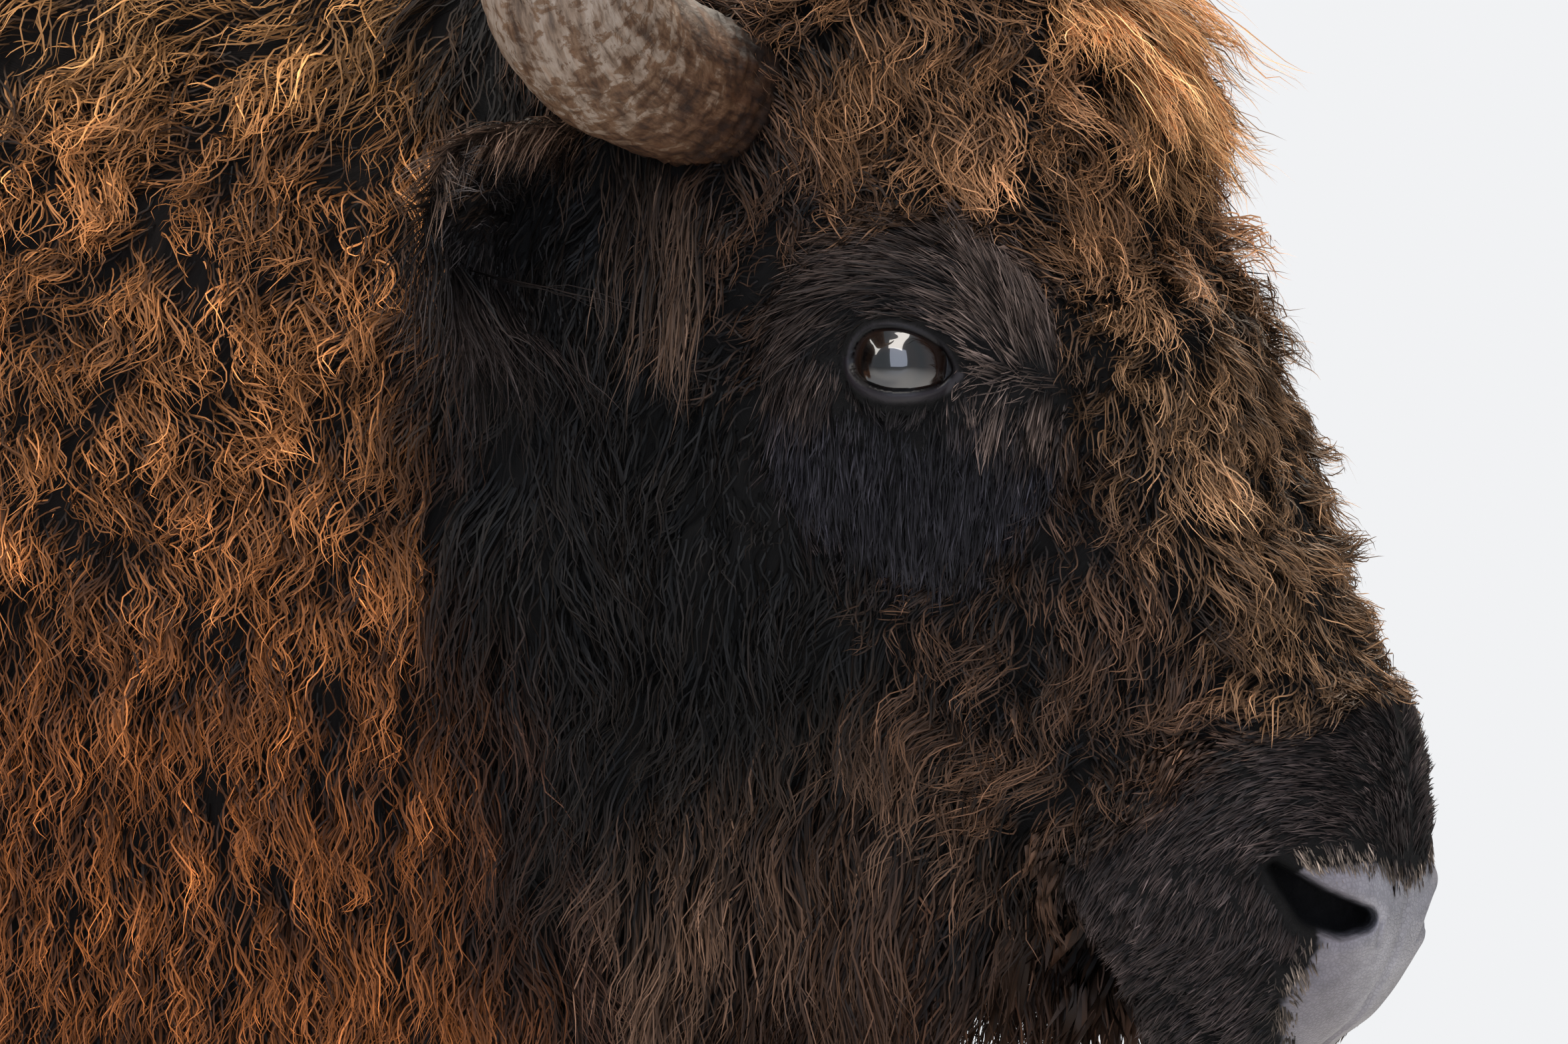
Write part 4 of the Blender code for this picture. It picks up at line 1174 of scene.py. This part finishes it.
def setAttribute(mesh, name, values):
    # one number, colour or vector for each vertex
    values = np.asarray(values, np.float32)
    kind, field = ("FLOAT", "value") if values.ndim == 1 else ("FLOAT_VECTOR", "vector")
    attribute = mesh.attributes.new(name, kind, "POINT")
    attribute.data.foreach_set(field, values.ravel())


# Hide: black under the hair (partly its own dark colour, partly painted shade deep in the coat), bare and
# cobbled on the nose pad, wrinkled and bare on the lids

hide = {
    # underHair: near black, partly the hide's own colour and partly painted shade deep in the coat
    "underHair": "#0a0807",
    "pad": "#8b868d",
    "padWet": "#7c777e",
    "padFront": "#a6a3a9",
    "lid": "#2b272b",
    "lidEdge": "#0d0a0b",
    # nostril: near black, painted shade inside the nostril's hollow
    "nostril": "#0c0b0c",
    "cobbleMm": 2.2,
}


def paintSkin(mesh):
    points = getPoints(mesh)
    zones = zoneWeights(points)
    pad = padShare(points)
    lids, gap = lidShare(points)
    across, up, outwards = nostrilCoords(points)
    slit = slitDistance(across, up)
    # the ground under the hair: root colour and near black, partly the hide's own colour and partly painted
    # shade deep in the coat
    tint = 0.5 * blendedColour(zones, "root") + 0.5 * linear(hide["underHair"])
    short = sum(zones[name] for name in ("shoulder", "brisket", "back", "belly", "leg", "tail"))
    short = short + ramp(points[:, 1], 0.0, 0.05) * sum(zones[name] for name in ("neck", "lowNeck", "nape"))
    short = short[:, None]
    brown = 0.45 * blendedColour(zones, "tip") + 0.55 * blendedColour(zones, "root")
    tint = tint + short * (brown - tint)  # the ground of a short or thin coat is as brown as its hair

    for share, name in (
        (lids, "lid"), (lids * (1 - ramp(gap, 0.0006, 0.0020)), "lidEdge"), (pad, "pad"),
        (pad * ramp(-up, 0.010, 0.045), "padWet"), (pad * ramp(across, 0.005, 0.030), "padFront"),
        # inside the nostril: near black, painted shade in its hollow
        (headShare(points) * (outwards > -0.06) * (1 - ramp(slit, -0.0035, 0.0005)), "nostril"),
    ):
        tint = tinted(tint, share, linear(hide[name]))
    setAttribute(mesh, "skinTint", tint)
    pad = pad * ramp(slit, -0.0015, 0.0010)
    setAttribute(mesh, "pad", pad)
    setAttribute(mesh, "bare", np.maximum(pad, lids))
    # places drawn together along the lie of the hair, so that a pattern on them is combed with it
    lies = unit(sum(weight[:, None] * np.array(zoneLies[name]) for name, weight in zones.items()) * [1, 0, 1])
    setAttribute(mesh, "combed", points - 0.86 * (points * lies).sum(axis=1, keepdims=True) * lies)


def makeHide():
    # living skin: dull where hair covers it, with a damp cobbled shine where it is bare
    material, node, shader = newMaterial("hide", {"IOR": 1.42, "Specular IOR Level": 0.4})
    tint, combed = (node("Attribute", {"attribute_name": name}, "Vector") for name in ("skinTint", "combed"))
    bare, pad = (node("Attribute", {"attribute_name": name}, "Fac") for name in ("bare", "pad"))
    place = node("TexCoord", {}, "Object")
    hair = node("TexNoise", {"Scale": 170.0, "Detail": 6.0, "Roughness": 0.6, "Vector": combed})
    hairShade = node("MapRange", {"From Min": 0.36, "From Max": 0.64, "To Min": 0.45, "To Max": 1.5,
                                  "Value": hair})
    blotch = node("TexNoise", {"Scale": 120.0, "Detail": 4.0, "Vector": place})
    skinShade = node("MapRange", {"From Min": 0.3, "From Max": 0.7, "To Min": 0.82, "To Max": 1.14,
                                  "Value": blotch})
    shade = node("Mix", {"data_type": "FLOAT", 0: bare, 2: hairShade, 3: skinShade})
    cobble = node("TexVoronoi", {"feature": "DISTANCE_TO_EDGE", "Randomness": 0.85,
                                 "Scale": 1000 / hide["cobbleMm"], "Vector": place}, "Distance")
    cobble = node("MapRange", {"From Max": 0.22, "Value": cobble})
    cobble = node("Math", {"operation": "MULTIPLY", 0: cobble, 1: pad})
    smooth = node("MapRange", {"To Min": 1.0, "To Max": 0.0, "Value": pad})
    # painted shade: the pad is darker in the grooves between its cobbles
    grooveShade = node("Math", {"operation": "ADD", "use_clamp": True, 0: cobble, 1: smooth})
    grooveShade = node("MapRange", {"To Min": 0.80, "To Max": 1.0, "Value": grooveShade})
    shade = node("Math", {"operation": "MULTIPLY", 0: shade, 1: grooveShade})
    fine = node("TexNoise", {"Scale": 900.0, "Detail": 3.0, "Vector": place})
    hairy = node("MapRange", {"To Min": 0.8, "To Max": 0.0, "Value": bare})
    normal = {}
    for height, strength, distance in ((cobble, 0.35, 0.0004), (fine, 0.25, 0.0004), (hair, hairy, 0.0050)):
        bump = {"Height": height, "Strength": strength, "Distance": distance, **normal}
        normal = {"Normal": node("Bump", bump)}
    feed(shader, {
        "Base Color": node("VectorMath", {"operation": "SCALE", "Vector": tint, "Scale": shade}),
        "Roughness": node("MapRange", {"To Min": 0.92, "To Max": 0.34, "Value": bare}), **normal,
    })
    return material


# Eyes: dark, glossy, with a long level pupil

eyeLook = {
    "pupil": (0.0078, 0.0050),  # half length, half height
    "iris": 0.0130,
    "cornea": 0.0011,  # how far the clear front stands proud
    "pupilColour": "#020203",
    "irisColour": "#0b0705",
    "fibreColour": "#1a0f09",
    "rimColour": "#040303",
    "whiteColour": "#1f120c",
}


def makeEye(sideName, side, material):
    bm = bmesh.new()
    bmesh.ops.create_icosphere(bm, subdivisions=6, radius=eyeRadius)
    mesh = meshFrom(bm, "eyeball_" + sideName)
    points = getPoints(mesh)
    along, up, out = (points @ axis for axis in eyeDirections(side))
    off = np.hypot(along, up)
    front = out > 0
    bulge = eyeLook["cornea"] * (1 - ramp(off, 0.006, 0.0135)) * front
    points = points * (1 + bulge / eyeRadius)[:, None]
    setPoints(mesh, points + eyes[sideName])
    setAttribute(mesh, "gaze", np.stack([along, up, np.where(front, 0.0, 1.0)], axis=1))
    mesh.materials.append(material)
    addPiece("eyeball_" + sideName, mesh, ["eye_" + sideName])


def makeEyeMaterial():
    # a wet eye: dark iris behind a clear, mirror-smooth cornea
    material, node, shader = newMaterial("wet_eye", {
        "Roughness": 0.25, "IOR": 1.38, "Coat Weight": 1.0, "Coat Roughness": 0.015, "Coat IOR": 2.1,
    })
    gaze = node("Attribute", {"attribute_name": "gaze"}, "Vector")
    pupilSize = [1 / half for half in eyeLook["pupil"]] + [0.0]
    reaches = []
    for stretch in (pupilSize, (1.0, 1.0, 0.0)):
        stretched = node("VectorMath", {"operation": "MULTIPLY", 0: gaze, 1: stretch})
        reaches.append(node("VectorMath", {"operation": "LENGTH", 0: stretched}, "Value"))
    tint = node("TexNoise", {"Scale": 450.0, "Detail": 3.0, "Vector": gaze})
    tint = node("Mix", {"data_type": "RGBA", 0: tint, 6: colour4(eyeLook["irisColour"]),
                        7: colour4(eyeLook["fibreColour"])}, 2)
    share = node("MapRange", {"From Min": 0.85, "From Max": 1.15, "Value": reaches[0]})
    tint = node("Mix", {"data_type": "RGBA", 0: share, 6: colour4(eyeLook["pupilColour"]), 7: tint}, 2)
    for start, end, colour in ((-0.0022, 0.0, "rimColour"), (0.0006, 0.0030, "whiteColour")):
        share = node("MapRange", {"From Min": eyeLook["iris"] + start, "From Max": eyeLook["iris"] + end,
                                  "Value": reaches[1]})
        tint = node("Mix", {"data_type": "RGBA", 0: share, 6: tint, 7: colour4(eyeLook[colour])}, 2)
    feed(shader, {"Base Color": tint})
    return material


# Horns: a tube bent along the horn's curve, ringed, and flaking like bark towards the head

hornForm = {
    "path": ((1.122, 0.085, 1.413, 0.0330), (1.120, 0.125, 1.420, 0.0350), (1.116, 0.172, 1.430, 0.0370),
             (1.114, 0.218, 1.445, 0.0385), (1.122, 0.262, 1.472, 0.0368), (1.142, 0.290, 1.517, 0.0320),
             (1.168, 0.298, 1.575, 0.0250), (1.193, 0.283, 1.630, 0.0160), (1.210, 0.258, 1.672, 0.0045)),
    "around": 84,
    "along": 200,
    "proud": -0.0006,  # the rough surface stays within the solid's
    # colours along the horn from the head, then of its streaks, flecks and flakes, then the painted shade laid
    # on its underside
    "lengthwise": ((0.15, "#2a1e16"), (0.22, "#6a5038"), (0.30, "#8c735e"), (0.42, "#a3907f"),
                   (0.60, "#ae9e90"), (0.76, "#958a80"), (0.90, "#4a433d"), (1.0, "#1c1917")),
    "streaks": ((0.32, "#6f5c4f"), (0.44, "#cdbdae"), (0.54, "#ffffff"), (0.72, "#ead2bc")),
    "flecks": ((0.30, "#7a6a5e"), (0.42, "#d8d0c8"), (0.52, "#ffffff")),
    "flakes": ((0.46, "#ffffff"), (0.50, "#d0bba6"), (0.58, "#b3987f"), (0.68, "#7d6652")),
    "shadeBelowColour": "#80705f",
}


def smoothPath(rows, places):
    # a curve through rows of numbers, at places from 0 to 1 along it
    rows = np.array(rows, float)
    slopes = np.gradient(rows, axis=0)
    where = np.clip(np.asarray(places), 0, 1) * (len(rows) - 1)
    index = np.minimum(where.astype(int), len(rows) - 2)
    t = (where - index)[:, None]
    start, end = rows[index], rows[index + 1]
    return (start * (2 * t**3 - 3 * t**2 + 1) + slopes[index] * (t**3 - 2 * t**2 + t)
            + end * (3 * t**2 - 2 * t**3) + slopes[index + 1] * (t**3 - t**2))


def tube(around, along):
    # an upright closed tube of radius 1 from 0 to 1, with rings of points to bend
    bm = bmesh.new()
    bmesh.ops.create_cone(bm, cap_ends=True, segments=around, radius1=1, radius2=1, depth=1,
                          matrix=Matrix.Translation((0, 0, 0.5)))
    upright = [edge for edge in bm.edges if abs(edge.verts[0].co.z - edge.verts[1].co.z) > 0.5]
    bmesh.ops.subdivide_edges(bm, edges=upright, cuts=along)
    return bm


def makeHorn(sideName, side, material):
    mesh = meshFrom(tube(hornForm["around"], hornForm["along"]), "horn_sheath_" + sideName)
    spots = getPoints(mesh)
    t = spots[:, 2]
    turn = np.arctan2(spots[:, 1], spots[:, 0])
    path = smoothPath(hornForm["path"], t)
    middle, radius = path[:, :3], path[:, 3]
    before, after = (smoothPath(hornForm["path"], t + step)[:, :3] for step in (-0.004, 0.004))
    ahead = unit(after - before)
    across = unit(np.cross(ahead, [1.0, 0.0, 0.0]))
    other = np.cross(ahead, across)
    steps = np.linspace(0, 1, 400)
    line = smoothPath(hornForm["path"], steps)[:, :3]
    reach = np.interp(t, steps, np.concatenate([[0], np.cumsum(np.linalg.norm(np.diff(line, axis=0), axis=1))]))
    straight = np.stack([reach, radius * np.cos(turn), radius * np.sin(turn)], axis=1)
    rough = 1 - ramp(reach, 0.12, 0.24)
    crust = inside(reach, 0.020, 0.062, 0.014)
    stretched = straight * [0.45, 1, 1]
    flakes = ripple(stretched, 0.009, 31) + 0.7 * ripple(stretched, 0.0045, 32)
    rings = np.sin(reach * 2 * math.pi / 0.0105 + 1.5 * ripple(straight, 0.08, 33))
    swell = 0.00018 * flakes * (0.25 + rough) + 0.0003 * rings * inside(reach, 0.05, 0.22, 0.04)
    swell += 0.0012 * crust * (ripple(straight, 0.009, 34) + 0.5 * ripple(straight, 0.005, 35))
    swell += 0.0008 * ripple(straight, 0.05, 36) * rough
    point = np.sqrt(np.maximum(1 - (np.maximum(t - 0.975, 0) / 0.025) ** 2, 0.0))
    width = (radius + hornForm["proud"] + np.minimum(swell, 0.0012)) * np.maximum(point, 0.01)
    width = width * np.where(np.hypot(spots[:, 0], spots[:, 1]) > 0.5, 1, 0)
    places = middle + across * (width * np.cos(turn))[:, None] + other * (width * np.sin(turn))[:, None]
    setPoints(mesh, places * [1, side, 1] + originShift)
    if side > 0:
        mesh.flip_normals()
    setAttribute(mesh, "straight", straight)
    # the side that faces down, marked for painted shade
    setAttribute(mesh, "underside", ramp(-getNormals(mesh)[:, 2] + 0.25 * ripple(straight, 0.03, 37), 0.1, 0.9))
    mesh.materials.append(material)
    addPiece("horn_sheath_" + sideName, mesh, ["horn_" + sideName])


def makeHornMaterial():
    # horn keratin: grey-tan and streaked in the middle, brown and flaking by the head, black at the tip, with
    # painted shade on its underside
    material, node, shader = newMaterial("horn_keratin", {
        "Roughness": 0.62, "IOR": 1.55, "Specular IOR Level": 0.35,
    })
    straight = node("Attribute", {"attribute_name": "straight"}, "Vector")
    under = node("Attribute", {"attribute_name": "underside"}, "Fac")
    reach = node("MapRange", {"From Max": 0.40, "Value": node("SeparateXYZ", {0: straight}, "X")})
    wander = node("TexNoise", {"Scale": 40.0, "Detail": 4.0, "Vector": straight})
    wander = node("Math", {"operation": "MULTIPLY_ADD", 0: wander, 1: 0.16, 2: reach})
    squashed = node("VectorMath", {"operation": "MULTIPLY", 0: straight, 1: (0.22, 1.0, 1.0)})
    streaks = node("TexNoise", {"Scale": 150.0, "Detail": 6.0, "Roughness": 0.62, "Vector": squashed})
    flecks = node("TexNoise", {"Scale": 420.0, "Detail": 6.0, "Roughness": 0.65, "Vector": squashed})
    flakes = node("TexNoise", {"Scale": 105.0, "Detail": 8.0, "Roughness": 0.66, "Distortion": 0.4,
                               "Vector": straight})
    byHead = node("MapRange", {"From Min": 0.16, "From Max": 0.55, "To Min": 0.10, "To Max": -0.12,
                               "Value": reach})
    flakes = node("Math", {"operation": "ADD", 0: flakes, 1: byHead})
    tint, streakTint, fleckTint, flakeTint = (
        node("ValToRGB", {"Fac": place}, "Color", stops) for place, stops in (
            (wander, hornForm["lengthwise"]), (streaks, hornForm["streaks"]),
            (flecks, hornForm["flecks"]), (flakes, hornForm["flakes"])))
    # painted shade: the side that faces down is darkened
    shadeBelowColour = colour4(hornForm["shadeBelowColour"])
    for share, layer in ((0.85, streakTint), (0.8, fleckTint), (1.0, flakeTint), (under, shadeBelowColour)):
        tint = node("Mix", {"data_type": "RGBA", "blend_type": "MULTIPLY", 0: share, 6: tint, 7: layer}, 2)
    raised = node("RGBToBW", {0: flakeTint})
    normal = {}
    for height, strength, distance in ((flecks, 0.45, 0.0008), (streaks, 0.45, 0.0016), (raised, 0.5, 0.0012)):
        bump = {"Height": height, "Strength": strength, "Distance": distance, **normal}
        normal = {"Normal": node("Bump", bump)}
    feed(shader, {"Base Color": tint, **normal})
    return material


# Hooves: two flat-soled claws and two dewclaws on each foot

hoofForm = {
    "around": 56,
    "along": 26,
    "length": (0.0608, 0.0418),  # half of it, at the floor and at the hair
    "width": (0.0260, 0.0248),
    "toeLean": 0.027,
    "squareness": 2.5,
    "dewclaw": (0.0126, 0.0112, 0.0236),
    "dewclawLean": -28.0,
    "dewclawSeat": 0.004,  # the most that a dewclaw's middle stands off the skin
    "colours": ((0.0, "#1d1917"), (0.35, "#37302b"), (0.75, "#6a6058")),  # unworn to worn
}


def makeClaw(node):
    bm = tube(hoofForm["around"], hoofForm["along"])
    low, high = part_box(node)
    for vert in bm.verts:
        t = vert.co.z
        turn = math.atan2(vert.co.y, vert.co.x)
        c, s = math.cos(turn), math.sin(turn)
        power = 2 / hoofForm["squareness"]
        along, across = math.copysign(abs(c) ** power, c), math.copysign(abs(s) ** power, s)
        halfLong = hoofForm["length"][0] * (1 - t) + hoofForm["length"][1] * t
        halfWide = hoofForm["width"][0] * (1 - t) + hoofForm["width"][1] * t
        rounding = 1 - 0.06 * max(0.0, 1 - t / 0.05) ** 2 - 0.10 * max(0.0, (t - 0.93) / 0.07) ** 2
        rounding += 0.006 * math.sin(t * 38) * (1 - t)
        taper = 1 - 0.28 * max(0.0, along)
        vert.co.x = high.x - 0.0612 - hoofForm["toeLean"] * t + along * halfLong * rounding
        vert.co.y = (low.y + high.y) / 2 + across * halfWide * taper * rounding
        vert.co.z = low.z + t * (high.z - low.z)
    return bm


def makeHooves(material):
    bm = bmeshFrom(skinMesh)
    skinTree = BVHTree.FromBMesh(bm)
    bm.free()
    for leg in sorted({name.rsplit("_", 2)[0] for name in nodes if name.endswith("_hoof")}):
        whole = bmesh.new()
        parts = [name for name in nodes if name.startswith(leg) and name.endswith(("hoof", "dewclaw"))]
        for name in sorted(parts):
            if name.endswith("hoof"):
                bm = makeClaw(name)
            else:
                bm = bmesh.new()
                middle = Vector(middleOf(name))
                foot, _, _, gap = skinTree.find_nearest(middle)
                place = Matrix.Translation(foot + (middle - foot) * min(1.0, hoofForm["dewclawSeat"] / gap))
                lean = Matrix.Rotation(math.radians(hoofForm["dewclawLean"]), 4, "Y")
                bmesh.ops.create_icosphere(bm, subdivisions=4, radius=1,
                                           matrix=place @ lean @ Matrix.Diagonal((*hoofForm["dewclaw"], 1)))
            mesh = meshFrom(bm, "claw")
            whole.from_mesh(mesh)
            bpy.data.meshes.remove(mesh)
        mesh = meshFrom(whole, "hooves_" + leg)
        mesh.materials.append(material)
        addPiece("hooves_" + leg, mesh, parts)


def makeHoofMaterial():
    # hoof horn: dark, satin, ringed by growth and scuffed grey near the floor
    material, node, shader = newMaterial("hoof_horn", {"IOR": 1.55, "Specular IOR Level": 0.4})
    place = node("TexCoord", {}, "Object")
    height = node("SeparateXYZ", {0: place}, "Z")
    wear = node("MapRange", {"From Max": 0.05, "To Min": 1.0, "To Max": 0.0, "Value": height})
    grit = node("TexNoise", {"Scale": 260.0, "Detail": 6.0, "Vector": place})
    rings = node("TexWave", {"bands_direction": "Z", "Scale": 48.0, "Distortion": 2.2, "Detail": 2.0,
                             "Vector": place}, "Fac")
    worn = node("Math", {"operation": "MULTIPLY", 0: wear, 1: grit})
    bump = node("Bump", {"Height": rings, "Strength": 0.4, "Distance": 0.0010})
    feed(shader, {
        "Base Color": node("ValToRGB", {"Fac": worn}, "Color", hoofForm["colours"]),
        "Roughness": node("MapRange", {"To Min": 0.38, "To Max": 0.75, "Value": worn}),
        "Normal": node("Bump", {"Height": grit, "Strength": 0.3, "Distance": 0.0006, "Normal": bump}),
    })
    return material


# Ears: a cupped leaf with a thick edge, hairy on both sides, with a long fringe below

earForm = {
    "root": (1.062, 0.112, 1.370),
    "tip": (1.058, 0.250, 1.374),
    "facing": (0.80, 0.42, -0.25),
    "halfWidth": 0.037,
    "cup": 0.018,
    "thickness": 0.007,
    "reach": 1.75,  # how much of the ball's half length lies outside the head
}
# which way the hair of each part lies: along the ear, up, and out of its cup
earLies = {
    "innerEar": (1.0, 0.35, 0.0), "outerEar": (1.0, -0.2, 0.0), "upperEar": (1.0, 0.05, 0.05),
    "lowerEar": (0.4, -1.0, 0.15),
}


def earAxes(side):
    root, tip, facing = (np.array(earForm[key]) * [1, side, 1] for key in ("root", "tip", "facing"))
    along = unit(tip - root)
    out = unit(facing - (facing @ along) * along)
    up = np.cross(out, along) * side
    return root + originShift, np.linalg.norm(tip - root), along, up * np.sign(up[2]), out


def earWidth(t):
    x = earForm["reach"] * t + 1 - earForm["reach"]
    return earForm["halfWidth"] * np.sqrt(np.clip(1 - x**2, 0.01, 1))


def makeEarMesh(sideName, side):
    # a ball pressed into a cupped leaf, its root end inside the head
    bm = bmesh.new()
    bmesh.ops.create_icosphere(bm, subdivisions=5, radius=1)
    root, length, along, up, out = earAxes(side)
    for vert in bm.verts:
        x, y, z = vert.co
        t = (x - 1) / earForm["reach"] + 1
        depth = earForm["cup"] * (1 - min(1.0, abs(y)) ** 2.4) * (1 - 0.6 * abs(x) ** 3)
        proud = 0.5 * earForm["thickness"] * z - depth
        vert.co = root + along * length * t + up * earForm["halfWidth"] * y + out * proud
    return meshFrom(bm, "ear_skin_" + sideName)


def describeEar(side):
    root, length, along, up, out = earAxes(side)

    def describe(roots, normals):
        t = (roots - root) @ along / length
        y = (roots - root) @ up / np.maximum(earWidth(t), 0.004)
        innerSide = ramp((normals * out).sum(axis=1), -0.1, 0.3)
        top = ramp(y, 0.55, 0.85)
        parts = {"upperEar": top, "lowerEar": (1 - top) * ramp(-y, 0.35, 0.75)}
        rest = 1 - parts["upperEar"] - parts["lowerEar"]
        parts.update(innerEar=rest * innerSide, outerEar=rest * (1 - innerSide))
        recipe = {key: blended(parts, key) for key in hairNumbers}
        tints = [blendedColour(parts, key) for key in hairColours]
        lies = sum(share[:, None] * (earLies[part][0] * along + earLies[part][1] * up + earLies[part][2] * out)
                   for part, share in parts.items())
        lies = lies + 0.12 * np.stack([ripple(roots, 0.05, seed) for seed in (51, 52, 53)], axis=1)
        return recipe, alongSurface(lies, normals), tints

    return describe


def makeEar(sideName, side, seed, triangles):
    mesh = makeEarMesh(sideName, side)
    mesh.materials.append(hideMaterial)
    piece = addPiece("ear_skin_" + sideName, mesh, ["ear_" + sideName])
    points = getPoints(mesh)
    setAttribute(mesh, "skinTint", np.tile(linear("#120d0c"), (len(points), 1)))
    setAttribute(mesh, "pad", np.zeros(len(points)))
    setAttribute(mesh, "bare", np.zeros(len(points)))
    setAttribute(mesh, "combed", points)
    unwrap(piece, "skinShape")
    surface = surfaceOf(mesh, "skinShape")
    describe = describeEar(side)
    density = describe(surface["middles"], surface["faceNormals"])[0]["spacing"] ** -2.0
    plantCoat("coat_ear_" + sideName, surface, density, describe, 8, triangles, seed, False)


makeCamera()
makeStudio()
coatMaterial = makeCoatMaterial()
hideMaterial = makeHide()

skinMesh = makeSkin()
paintSkin(skinMesh)
skinMesh.materials.append(hideMaterial)
skin = addPiece("skin", skinMesh, fleshNodes + ["beard"])
print("skin:", len(skinMesh.polygons), "triangles")
unwrap(skin, "skinShape")
print("skin unwrapped")

eyeMaterial, hornMaterial = makeEyeMaterial(), makeHornMaterial()
for seed, (sideName, side) in enumerate(sides.items()):
    makeEye(sideName, side, eyeMaterial)
    makeHorn(sideName, side, hornMaterial)
    makeEar(sideName, side, 40 + seed, 54000 if side < 0 else 16000)
makeHooves(makeHoofMaterial())
print("eyes, horns, ears and hooves made")

growCoat(surfaceOf(skinMesh, "skinShape"))
